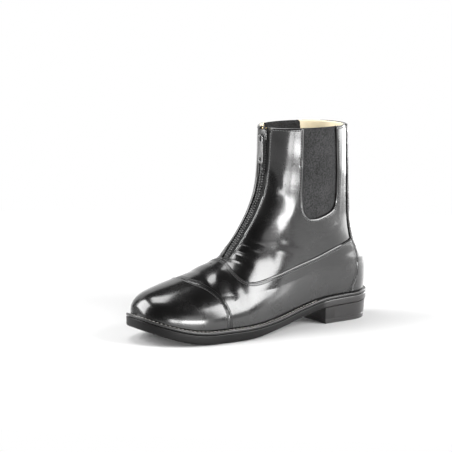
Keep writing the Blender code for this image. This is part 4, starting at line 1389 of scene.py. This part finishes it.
def stacked(name, loops, closed, material, sharp=0.0):
    """A solid through loops of equal count, capped at both ends or closed into a ring."""
    bm = bmesh.new()
    made = [[bm.verts.new([float(c) * MM for c in point]) for point in loop] for loop in loops]
    count = len(made[0])
    for a, b in list(zip(made, made[1:])) + ([(made[-1], made[0])] if closed else []):
        for j in range(count):
            bm.faces.new((a[j], a[(j + 1) % count], b[(j + 1) % count], b[j]))
    for loop in () if closed else (made[0], made[-1]):
        for j in range(count // 2 - 1):
            bm.faces.new((loop[j], loop[j + 1], loop[count - 2 - j], loop[count - 1 - j]))
    return finished(name, bm, material, 0.02, sharp)


# Section of the outsole. Columns: inset from the edge, face it is measured from, height over it
RECESS = 7.0
OUTSOLE_SECTION = (
    (RECESS + 0.7, tread, 0.5),
    (RECESS, tread, 0.0),
    (2.6, tread, 0.0),
    (1.5, tread, 0.08),
    (0.7, tread, 0.5),
    (0.2, tread, 1.1),
    (0.0, tread, 1.9),
    (0.15, outsole_top, -3.4),
    (0.0, outsole_top, -1.2),
    (0.1, outsole_top, -0.5),
    (0.5, outsole_top, -0.1),
    (1.2, outsole_top, 0.0),
    (8.0, outsole_top, 0.0),
)

# Rounded outer edge of the welt, from its underside to its top. Same columns
WELT_SECTION = (
    (0.8, outsole_top, GAP),
    (0.3, outsole_top, GAP + 0.25),
    (0.05, outsole_top, GAP + 0.7),
    (0.0, outsole_top, GAP + 1.2),
    (0.0, welt_top, -0.9),
    (0.1, welt_top, -0.4),
    (0.45, welt_top, -0.1),
    (1.0, welt_top, 0.0),
)

# Sewn groove of the welt. Columns: distance from the seam, share of the groove's depth
WELT_GROOVE = ((-0.75, 0.0), (-0.35, 0.6), (0.0, 1.0), (0.35, 0.6), (0.75, 0.0))

# Rounded upper edge of the insole. Columns: inset from its side, height over the bed
INSOLE_EDGE = ((0.6, 0.0), (0.0, 0.5), (0.0, 1.5), (0.5, 2.0), (1.4, 2.2), (8.0, 2.0))

# Line between the heel's lift and its top piece. Columns: share of the height, inset
HEEL_LINE = ((0.235, 0.0), (0.25, 0.35), (0.27, 0.35), (0.285, 0.0))


class BOOT_OT_sole(bpy.types.Operator):
    """Makes the outsole, welt and heel"""

    bl_idname = "boot.make_sole"
    bl_label = "Make the sole, welt and heel"

    def execute(self, context):
        look = context.scene.boot_sole
        side = kit_of("black sole edge", sole_edge, look)
        strip = kit_of("black welt leather", welt_leather, look)
        outsole = stacked("sole_outsole", [edge_loop(*row) for row in OUTSOLE_SECTION], False, side)
        ride(outsole, "sole", "outsole")

        shelf = LASTING_MARGIN + BED_MARGIN
        groove = look.groove / MM
        loops = [edge_loop(*row) for row in WELT_SECTION]
        loops += [edge_loop(WELT_SEAM + away, welt_top, -groove * deep) for away, deep in WELT_GROOVE]
        loops.append(edge_loop(WELT_EDGE_HEEL, welt_top, 0.0))
        loops += [feather_loop(shelf, welt_top, 0.0), feather_loop(shelf, outsole_top, GAP)]
        ride(stacked("sole_welt", loops, True, strip), "welt", "welt")

        low = sole_loop(TOE_TIP, HEEL_FACE_BACK, HEEL_BOTTOM_INSET, np.zeros_like, 0.0, HEEL_FACE_FRONT)
        high = sole_loop(TOE_TIP, HEEL_BACK - HEEL_TOP_INSET, HEEL_TOP_INSET, tread, -GAP,
                         HEEL_FACE_FRONT - HEEL_BREAST_RAKE)
        middle = (low + high).mean(axis=0)
        loops = [low]
        for share, inset in HEEL_LINE:
            loop = low + (high - low) * share
            away = loop - middle
            away[:, 2] = 0
            loops.append(loop - away / np.linalg.norm(away, axis=1, keepdims=True) * inset)
        heel = stacked("sole_heel", loops + [high], False, side, 40)
        bevel = heel.modifiers.new("soft edges", "BEVEL")
        bevel.width = 0.5 * MM
        bevel.segments = 2
        bevel.limit_method = "ANGLE"
        bevel.angle_limit = math.radians(35)
        bevel.harden_normals = True
        ride(heel, "sole", "heel_block")
        return {"FINISHED"}


class BOOT_OT_insole(bpy.types.Operator):
    """Makes the insole with its lining leather on top"""

    bl_idname = "boot.make_insole"
    bl_label = "Make the insole"

    def execute(self, context):
        cream = kit_of("cream lining leather", lining_leather, context.scene.boot_lining)
        bed = LASTING_MARGIN + BED_MARGIN + GAP
        side = UPPER_WALL + 2.6
        over = SEAT_GAP + UPPER_WALL + SEAT_GAP
        loops = [feather_loop(bed, outsole_top, GAP), feather_loop(bed, welt_top, over)]
        loops += [feather_loop(side + inset, welt_top, over + rise) for inset, rise in INSOLE_EDGE]
        ride(stacked("insole_sock", loops, False, cream), "lining", "insole")
        return {"FINISHED"}


class BOOT_OT_upper(bpy.types.Operator):
    """Makes the upper, leather outside and lining inside"""

    bl_idname = "boot.make_upper"
    bl_label = "Make the upper"

    def execute(self, context):
        look = context.scene.boot_leather
        black = kit_of("polished leather, wall", polished_leather, look, COLLAR_SEAM)
        cream = kit_of("cream lining leather", lining_leather, context.scene.boot_lining)
        lengths = steps((0, 1, 24), (1, 2, 125), (2, 3, 115))
        sheet = Sheet(lengths, steps((-1, 0, 74), (0, 1, 74)), wall_depth)
        folds = fold_height(sheet.points, look.folds)
        upper = add_wall("upper_wall", sheet, folds, folds - UPPER_WALL, [black, cream], 0.7)
        ride(upper, "upper_leather", "upper")
        return {"FINISHED"}


class BOOT_OT_overlays(bpy.types.Operator):
    """Makes the toe cap, the vamp and counter overlay and the heel strip"""

    bl_idname = "boot.make_overlays"
    bl_label = "Make the overlays"

    def execute(self, context):
        look = context.scene.boot_leather
        single = kit_of("polished leather, cap", polished_leather, look, SEAM)
        double = kit_of("polished leather, vamp", polished_leather, look, SEAM, SECOND_SEAM)

        def strip_and_collar(points):
            return np.minimum(strip_depth(points), below_collar(points))

        back = steps((-1, -0.5, 60), (-0.5, 0.5, 1), (0.5, 1, 60))
        for name, node, lengths, rounds, depth, thickness, black in (
                ("overlay_toe_cap", "toe_cap", steps((0, 1, 84), (1, 1.3, 22)), steps((-1, 1, 170)),
                 cap_depth, TOE_CAP_THICKNESS, single),
                ("overlay_vamp", "vamp_galosh", steps((0.4, 1, 56), (1, 2, 150), (2, 2.5, 50)),
                 steps((-1, 1, 220)), galosh_depth, GALOSH_THICKNESS, double),
                ("overlay_heel_strip", "backstay", steps((1.6, 2, 50), (2, 3, 150)), back,
                 strip_and_collar, BACKSTAY_THICKNESS, single)):
            sheet = Sheet(lengths, rounds, depth)
            under = fold_height(sheet.points, look.folds) + GAP
            ride(add_wall(name, sheet, under + thickness, under, [black], 0.6), "upper_leather", node)
        return {"FINISHED"}


class BOOT_OT_gores(bpy.types.Operator):
    """Makes the elastic sides behind their windows"""

    bl_idname = "boot.make_gores"
    bl_label = "Make the elastic sides"

    def execute(self, context):
        elastic = kit_of("ribbed black elastic", ribbed_elastic, context.scene.boot_elastic)
        line = window_edge(GORE_LAP)
        for name, node, side in (("elastic_outer", "gore_lateral", 1), ("elastic_inner", "gore_medial", -1)):

            def depth(points):
                lap = np.minimum(depth_in(points, line), points[..., 0] * side)
                return np.minimum(lap, below_collar(points))

            sheet = Sheet(steps((1.9, 3, 110)), steps((-0.9, 0, 60), (0, 0.9, 60)), depth)
            ribs = RIB_HEIGHT * np.sin(sheet.points[:, 1] * 2 * math.pi / RIB_SPACING)
            piece = add_wall(name, sheet, BEHIND_WALL + ribs, BEHIND_WALL - GORE_THICKNESS, [elastic], 0.3)
            ride(piece, "elastic", node)
        return {"FINISHED"}


def front_surface(x, z):
    """Points on the front of the upper at given places (x, z), with their outward directions."""
    furthest = 30.0
    halvings = 32

    def depth_at(a, b):
        low = front_y(b)
        high = low + furthest
        for _ in range(halvings):
            y = (low + high) / 2
            away = a - middle_x(y, b)
            short = half_width(y, b, np.where(away >= 0, 1, -1)) < np.abs(away)
            low = np.where(short, y, low)
            high = np.where(short, high, y)
        return (low + high) / 2

    x, z = np.broadcast_arrays(np.asarray(x, float), np.asarray(z, float))
    near = 0.5
    y = depth_at(x, z)
    out = np.stack(((depth_at(x + near, z) - depth_at(x - near, z)) / (2 * near), -np.ones_like(y),
                    (depth_at(x, z + near) - depth_at(x, z - near)) / (2 * near)), -1)
    return np.stack((x, y, z), -1), out / np.linalg.norm(out, axis=-1, keepdims=True)


def flat_plate(name, outlines, thickness, bevel, material):
    """A plate from closed outlines (x, z) in millimetres, holes among them, with rounded edges."""
    curve = bpy.data.curves.new(name, "CURVE")
    curve.dimensions = "2D"
    curve.fill_mode = "BOTH"
    curve.extrude = (thickness / 2 - bevel) * MM
    curve.bevel_depth = bevel * MM
    curve.bevel_resolution = 2
    curve.offset = -bevel * MM
    for outline in outlines:
        spline = curve.splines.new("POLY")
        spline.points.add(len(outline) - 1)
        for point, (x, z) in zip(spline.points, outline):
            point.co = (x * MM, z * MM, 0.0, 1.0)
        spline.use_cyclic_u = True
    mesh = finished_mesh(name, placed(name + "_outline", curve))
    bm = bmesh.new()
    bm.from_mesh(mesh)
    bpy.data.meshes.remove(mesh)
    bm.transform(Matrix.Rotation(math.radians(90), 4, "X"))
    for face in bm.faces:
        face.material_index = 0
    return finished(name, bm, material, 0.01, 40)


def ring(radius, count=32):
    """A round outline."""
    return [(radius * math.cos(2 * math.pi * k / count), radius * math.sin(2 * math.pi * k / count))
            for k in range(count)]


def rectangle(half, low, high):
    return [(-half, high), (half, high), (half, low), (-half, low)]


def rounded_outline(corners, radius):
    """A closed outline with its corners rounded."""
    count = 5
    out = []
    total = len(corners)
    for i in range(total):
        p = np.array(corners[i], float)
        a = np.array(corners[i - 1], float) - p
        b = np.array(corners[(i + 1) % total], float) - p
        ra = min(radius, np.linalg.norm(a) / 2.2)
        rb = min(radius, np.linalg.norm(b) / 2.2)
        start = p + a / np.linalg.norm(a) * ra
        end = p + b / np.linalg.norm(b) * rb
        for k in range(count + 1):
            t = k / count
            out.append(tuple(start * (1 - t) ** 2 + 2 * p * t * (1 - t) + end * t * t))
    return out


def joined(name, things, material):
    """One piece from several, which are removed."""
    bm = bmesh.new()
    for thing in things:
        bm.from_mesh(thing.data)
        bpy.data.objects.remove(thing)
    return finished(name, bm, material, sharp=40)


def moved(thing, place, turn=Matrix.Identity(4)):
    """Turns a piece's mesh and moves it to a place in millimetres."""
    thing.data.transform(turn)
    thing.data.transform(Matrix.Translation(Vector([c * MM for c in place])))
    return thing


def slider_place():
    """The chain's outer face at the slider's middle (y, z) and the lean of the front there."""
    z = BOOT_HEIGHT - SLIDER_BELOW_COLLAR
    step = SLIDER_LENGTH / 2
    face = ZIP_CHAIN_THICKNESS + GAP + BEHIND_WALL
    tilt = math.atan2(float(front_y(z + step) - front_y(z - step)), 2 * step)
    return float(front_y(z)) - face, z, tilt


def pivot_place():
    """The middle of the bail (y, z)."""
    y, z, tilt = slider_place()
    reach = GAP + SLIDER_FRONT + BAIL_STAND_OFF
    return y - reach * math.cos(tilt), z + reach * math.sin(tilt)


class BOOT_OT_zip(bpy.types.Operator):
    """Makes the zip: tape, teeth, stops, slider and pull tab"""

    bl_idname = "boot.make_zip"
    bl_label = "Make the zip"

    def execute(self, context):
        look = context.scene.boot_zip
        tape = kit_of("black zip tape", woven_tape, look)
        tooth = kit_of("dark zip teeth", zip_metal, look.tooth_colour, 0.35)
        metal = kit_of("grey zip metal", zip_metal, look.metal_colour, 0.26)
        pull = kit_of("pull tab metal", zip_metal, shade(look.metal_colour, 1.7), 0.3)
        brass = kit_of("brass stops", zip_metal, look.stop_colour, 0.3)
        foot = float(level_height(ZIP_FOOT_LEVEL))
        middle = BEHIND_WALL + GAP + ZIP_CHAIN_THICKNESS / 2
        self.weave_tape(tape, foot)
        self.set_teeth(look.pitch, tooth, foot, middle)
        self.cast_slider(metal)
        self.cut_tab(pull)
        stops = []
        for x in (-STOP_SIZE, STOP_SIZE):
            spot, out = front_surface(x, BOOT_HEIGHT - STOP_BELOW_COLLAR)
            stop = flat_plate("stop", [rectangle(STOP_SIZE / 2, -0.9, 0.9)[::-1]], STOP_SIZE, 0.3, brass)
            stops.append(moved(stop, (x, spot[1] - middle, spot[2])))
        ride(joined("zip_top_stops", stops, brass), "zip_metal")
        return {"FINISHED"}

    @staticmethod
    def weave_tape(material, foot):
        """Makes the tape, which lies behind the upper round its opening."""

        def depth(points):
            side = ZIP_TAPE_WIDTH / 2 - np.abs(points[..., 0])
            low = points[..., 2] - (foot - ZIP_FOOT_LAP)
            front = SHAFT_AXIS - points[..., 1]
            return np.minimum(np.minimum(side, low), np.minimum(below_collar(points), front))

        sheet = Sheet(steps((1.2, 3, 170)), steps((-0.4, 0, 30), (0, 0.4, 30)), depth)
        inner = BEHIND_WALL - ZIP_TAPE_THICKNESS
        band = add_wall("zip_tape_cloth", sheet, BEHIND_WALL, inner, [material], 0.1)
        ride(band, "zip_tape", "zip_tape")

    @staticmethod
    def set_teeth(pitch, material, foot, middle):
        """Sets two rows of teeth on the tape, half a pitch apart."""
        end_gap, spacing = 2.2, 0.5
        z = np.linspace(foot + end_gap, BOOT_HEIGHT - end_gap, 500)
        rows = []
        for x, shift in ((TOOTH_ROW, 0.0), (-TOOTH_ROW, pitch / MM / 2)):
            points, out = front_surface(np.full_like(z, x), z)
            line, lift = even_line(points + out * middle, out, spacing)
            start = int(shift / spacing)
            rows.append((line[start:], lift[start:]))
        sizes = (pitch, TOOTH_LENGTH * MM, TOOTH_WIDTH * MM, TOOTH_HEIGHT * MM)
        teeth = grow_lines("zip_teeth", rows, repeat_along("zip teeth", tooth_shape), sizes, material)
        ride(teeth, "zip_metal", "zip_chain")

    @staticmethod
    def cast_slider(material):
        """Casts the slider: a front plate, a lip on each side and the bail."""
        half = SLIDER_LENGTH / 2
        wide = SLIDER_WIDTH / 2
        shoulder = half - SLIDER_SHOULDER
        body = rounded_outline([(-wide, half), (wide, half), (wide, shoulder), (SLIDER_TAIL, -half),
                                (-SLIDER_TAIL, -half), (-wide, shoulder)], SLIDER_CORNER)
        plate = flat_plate("slider_front", [body], SLIDER_FRONT, 0.45, material)
        parts = [moved(plate, (0, -GAP - SLIDER_FRONT / 2, 0))]
        for side in (1, -1):
            corners = [(side * LIP_INSIDE, half - 0.4), (side * wide, half - 0.4),
                       (side * wide, -half + 3.5), (side * LIP_INSIDE, -half + 2.5)]
            lip = rounded_outline(corners[::side], LIP_CORNER)
            plate = flat_plate("slider_lip", [lip], SLIDER_LIP_DEPTH + GAP, 0.3, material)
            parts.append(moved(plate, (0, (SLIDER_LIP_DEPTH - GAP) / 2, 0)))
        y, z, tilt = slider_place()
        parts = [moved(part, (0, y, z), Matrix.Rotation(-tilt, 4, "X")) for part in parts]
        rings = [ring(BAIL_HOLE_RADIUS + BAIL_WIRE), ring(BAIL_HOLE_RADIUS)]
        bail = flat_plate("slider_bail", rings, BAIL_WIDTH, 0.3, material)
        parts.append(moved(bail, (0, *pivot_place()), Matrix.Rotation(math.radians(90), 4, "Z")))
        ride(joined("zip_slider_cast", parts, material), "zip_metal", "zip_slider")

    @staticmethod
    def cut_tab(material):
        """Cuts the pull tab, with the slot for the bail and the eye near its foot."""
        top = PULLER_THICKNESS / 2
        half = PULLER_WIDTH / 2
        neck = half - PULLER_NECK_INSET
        low = -PULLER_LENGTH
        outline = [(-neck, top), (neck, top), (neck, -PULLER_NECK_END), (half, -PULLER_FULL_WIDTH_FROM),
                   (half, low), (-half, low), (-half, -PULLER_FULL_WIDTH_FROM), (-neck, -PULLER_NECK_END)]
        slot = rectangle(PULLER_SLOT_WIDTH / 2, -top - PULLER_SLOT_LENGTH, -top)
        eye = rectangle(EYE_HALF_WIDTH, low + EYE_FOOT, low + EYE_TOP)
        shapes = [rounded_outline(outline, PULLER_CORNER), rounded_outline(slot, 0.6),
                  rounded_outline(eye, 1.6)]
        tab = flat_plate("zip_pull_tab", shapes, PULLER_THICKNESS, 0.35, material)
        ride(moved(tab, (0, *pivot_place())), "zip_metal", "zip_puller", body=TAB_BODY)


def runs(points, lifts, keep):
    """The stretches of a line whose points are kept."""
    found = []
    start = None
    for k, good in enumerate(list(keep) + [False]):
        if good and start is None:
            start = k
        if not good and start is not None:
            if k - start > 3:
                found.append((points[start:k], lifts[start:k]))
            start = None
    return found


def collar_rows(folds):
    """Lines round the collar, broken at the openings."""
    from_window, from_slot = 1.4, 1.8
    turn = np.linspace(0.02, 0.98, 500) * math.pi
    z = np.full_like(turn, BOOT_HEIGHT - COLLAR_SEAM)
    y = front_y(z) + (back_y(z) - front_y(z)) * (1 - np.cos(turn)) / 2
    found = []
    for side in (1, -1):
        points, out = on_form(y, z, side)
        strip = np.where(strip_depth(points) > 0, GAP + BACKSTAY_THICKNESS, 0.0)
        keep = (window_depth(points) > from_window) & (slot_depth(points) > from_slot)
        points = points + out * (strip + fold_height(points, folds))[:, None]
        found += [even_line(*run) for run in runs(points, out, keep)]
    return found


def zip_rows(folds):
    """A line round the zip's opening."""
    foot = float(level_height(ZIP_FOOT_LEVEL)) - ZIP_SEAM
    top = BOOT_HEIGHT - 1.2
    down, across = 200, 24
    z = np.concatenate((np.linspace(top, foot + 0.01, down), np.full(across, foot),
                        np.linspace(foot + 0.01, top, down)))
    side = np.concatenate((np.ones(down), np.linspace(1, -1, across), -np.ones(down)))
    points, out = front_surface(side * (slot_half(z) + ZIP_SEAM), z)
    points = points + out * fold_height(points, folds)[:, None]
    return [even_line(points, out)]


class BOOT_OT_stitching(bpy.types.Operator):
    """Sews the upper, the overlays, the openings and the welt"""

    bl_idname = "boot.make_stitching"
    bl_label = "Sew the boot"

    def execute(self, context):
        look = context.scene.boot_stitching
        folds = context.scene.boot_leather.folds
        thread = kit_of("grey thread", waxed_thread, look.colour)
        bright = kit_of("light border thread", waxed_thread, look.border_colour)
        pale = kit_of("pale welt thread", waxed_thread, look.welt_colour)
        group = repeat_along("stitches", stitch_shape)
        sizes = (look.pitch, look.pitch * 0.74, look.width, look.width * 0.8)
        seams = []
        for side in (1, -1):
            for line, thickness, shift in ((CAP_LINE, TOE_CAP_THICKNESS, SEAM),
                                           (GALOSH_LINE, GALOSH_THICKNESS, SEAM),
                                           (GALOSH_LINE, GALOSH_THICKNESS, SECOND_SEAM),
                                           (STRIP_LINE, BACKSTAY_THICKNESS, -SEAM)):
                seams.append(laid(line, side, GAP + thickness + THREAD_LIFT, shift, folds))
        ride(grow_lines("stitches_overlays", seams, group, sizes, thread), "upper_leather")
        borders = [laid(WINDOW_LINE, side, THREAD_LIFT, WINDOW_SEAM, folds) for side in (1, -1)]
        borders += zip_rows(folds) + collar_rows(folds)
        ride(grow_lines("stitches_openings", borders, group, sizes, bright), "upper_leather")

        sunk = 0.15
        from_heel = 14.0
        seam = edge_loop(WELT_SEAM, welt_top, -sunk)
        half = len(seam) // 2
        rows = []
        for line in (seam[:half], seam[half:]):
            line = line[line[:, 1] < HEEL_FACE_FRONT - from_heel]
            rows.append(even_line(line, np.tile((0.0, 0.0, 1.0), (len(line), 1))))
        sizes = (look.welt_pitch, look.welt_pitch * 0.8, 1.2 * MM, 0.8 * MM)
        ride(grow_lines("stitches_welt", rows, group, sizes, pale), "welt")
        return {"FINISHED"}


def glow(name, strength):
    """A material that only gives off white light."""
    material = bpy.data.materials.new(name)
    material.use_nodes = True
    tree = material.node_tree
    tree.nodes.clear()
    light = tree.nodes.new("ShaderNodeEmission")
    light.inputs["Strength"].default_value = strength
    end = tree.nodes.new("ShaderNodeOutputMaterial")
    tree.links.new(light.outputs[0], end.inputs[0])
    return material


def disc(name, deep, wide, height, material, back=0.0, turn=0.0):
    """A flat oval sheet, in metres, moved back from the boot, its depth along the camera's direction."""
    count = 96
    points = []
    for k in range(count):
        a = 2 * math.pi * k / count
        along, across = back + deep * math.cos(a), wide * math.sin(a)
        points.append((-math.sin(turn) * along + math.cos(turn) * across,
                       math.cos(turn) * along + math.sin(turn) * across, height))
    mesh = bpy.data.meshes.new(name)
    mesh.from_pydata(points, [], [list(range(count))[::-1]])
    mesh.materials.append(material)
    return placed(name, mesh)


def backdrop_wall(name, radius, height, middle, sweep, material):
    """An upright curved sheet behind the boot, in metres."""
    count = 48
    points = []
    for k in range(count + 1):
        a = middle + sweep * (k / count - 0.5)
        points += [(radius * math.sin(a), -radius * math.cos(a), z) for z in (-0.01, height)]
    faces = [(2 * k, 2 * k + 2, 2 * k + 3, 2 * k + 1) for k in range(count)]
    mesh = bpy.data.meshes.new(name)
    mesh.from_pydata(points, [], faces)
    mesh.materials.append(material)
    return placed(name, mesh)


class BOOT_OT_stage(bpy.types.Operator):
    """Sets the floor, backdrop, lights and camera"""

    bl_idname = "boot.make_stage"
    bl_label = "Set the stage"

    def execute(self, context):
        look = context.scene.boot_stage
        scene = context.scene
        paper = Shader("white floor", look.floor_colour, 0.6, Emission_Strength=1.0)
        x = paper.axis("X") - AIM[0]
        y = paper.axis("Y") - AIM[1]
        away = paper.ramp((x * x + y * y) ** 0.5, *FLOOR_FADE)
        paper.feed("Emission Color", paper.mix(away, (0.0, 0.0, 0.0), (1.0, 1.0, 1.0)))
        paper.feed("Base Color", paper.mix(away, look.floor_colour, (0.0, 0.0, 0.0)))
        disc("floor", FLOOR_DEEP, FLOOR_WIDE, -0.0002, paper.material, FLOOR_BACK, look.turn)
        white = glow("bright backdrop", 1.0)
        ground = disc("backdrop_ground", 14.0, 14.0, -0.002, white)
        wall = backdrop_wall("backdrop_wall", 2.5, 2.2, look.turn + math.pi, math.radians(120), white)
        for sheet in (ground, wall):
            sheet.visible_diffuse = False
            sheet.visible_shadow = False

        world = scene.world or bpy.data.worlds.new("room")
        scene.world = world
        world.use_nodes = True
        room = world.node_tree.nodes["Background"]
        room.inputs["Color"].default_value = (1.0, 1.0, 1.0, 1.0)
        room.inputs["Strength"].default_value = look.surround

        for name, turn, rise, distance, wide, high, power in LIGHTS:
            lamp = bpy.data.lights.new(name, "AREA")
            lamp.shape = "RECTANGLE"
            lamp.size = wide
            lamp.size_y = high
            lamp.energy = power * look.strength
            thing = placed(name, lamp)
            a, e = math.radians(turn), math.radians(rise)
            away = Vector((math.sin(a) * math.cos(e), -math.cos(a) * math.cos(e), math.sin(e)))
            thing.location = Vector(AIM) + away * distance
            thing.rotation_euler = away.to_track_quat("Z", "Y").to_euler()

        scene.camera = self.set_camera(look.turn)
        scene.view_settings.view_transform = "Standard"
        return {"FINISHED"}

    @staticmethod
    def set_camera(turn):
        """Sets the camera at a direction round the boot."""
        away = Vector((math.sin(turn), -math.cos(turn), 0))
        place = away * CAMERA_DISTANCE + Vector((0, -CAMERA_PULL, CAMERA_HEIGHT))
        ahead = Matrix.Rotation(math.radians(CAMERA_YAW), 3, "Z") @ -away
        pitch = math.radians(CAMERA_PITCH)
        forward = ahead * math.cos(pitch) - Vector((0, 0, math.sin(pitch)))
        right = forward.cross(Vector((0, 0, 1))).normalized()
        up = right.cross(forward)
        roll = math.radians(CAMERA_ROLL)
        side = right * math.cos(roll) + up * math.sin(roll)
        up = up * math.cos(roll) - right * math.sin(roll)
        lens = bpy.data.cameras.new("camera")
        lens.lens = CAMERA_LENS
        lens.sensor_width = SENSOR_WIDTH
        camera = placed("camera", lens)
        camera.matrix_world = (Matrix.Translation(place * MM)
                               @ Matrix((side, up, -forward)).transposed().to_4x4())
        return camera


class BOOT_PT_panel(bpy.types.Panel):
    """The boot's pieces and their sizes"""

    bl_label = "Paddock boot"
    bl_space_type = "VIEW_3D"
    bl_region_type = "UI"
    bl_category = "Boot"

    def draw(self, context):
        layout = self.layout
        for settings, operators in PANEL_ROWS:
            group = getattr(context.scene, settings)
            box = layout.box()
            for label in group.__annotations__:
                box.prop(group, label)
            for operator in operators:
                box.operator(operator)


PANEL_ROWS = (
    ("boot_leather", ("boot.make_upper", "boot.make_overlays")),
    ("boot_lining", ("boot.make_insole",)),
    ("boot_elastic", ("boot.make_gores",)),
    ("boot_sole", ("boot.make_sole",)),
    ("boot_zip", ("boot.make_zip",)),
    ("boot_stitching", ("boot.make_stitching",)),
    ("boot_stage", ("boot.make_stage",)),
)

GROUPS = (
    ("boot_leather", BootLeather),
    ("boot_lining", BootLining),
    ("boot_elastic", BootElastic),
    ("boot_sole", BootSole),
    ("boot_zip", BootZip),
    ("boot_stitching", BootStitching),
    ("boot_stage", BootStage),
)

OPERATORS = (BOOT_OT_sole, BOOT_OT_insole, BOOT_OT_upper, BOOT_OT_overlays, BOOT_OT_gores, BOOT_OT_zip,
             BOOT_OT_stitching, BOOT_OT_stage)


def register():
    for label, group in GROUPS:
        bpy.utils.register_class(group)
        setattr(bpy.types.Scene, label, PointerProperty(type=group))
    for kind in OPERATORS + (BOOT_PT_panel,):
        bpy.utils.register_class(kind)


def unregister():
    for kind in (BOOT_PT_panel,) + OPERATORS[::-1]:
        bpy.utils.unregister_class(kind)
    for label, group in GROUPS[::-1]:
        delattr(bpy.types.Scene, label)
        bpy.utils.unregister_class(group)


def main():
    register()
    bpy.ops.boot.make_sole()
    bpy.ops.boot.make_insole()
    bpy.ops.boot.make_upper()
    bpy.ops.boot.make_overlays()
    bpy.ops.boot.make_gores()
    bpy.ops.boot.make_zip()
    bpy.ops.boot.make_stitching()
    bpy.ops.boot.make_stage()


if __name__ == "__main__":
    main()
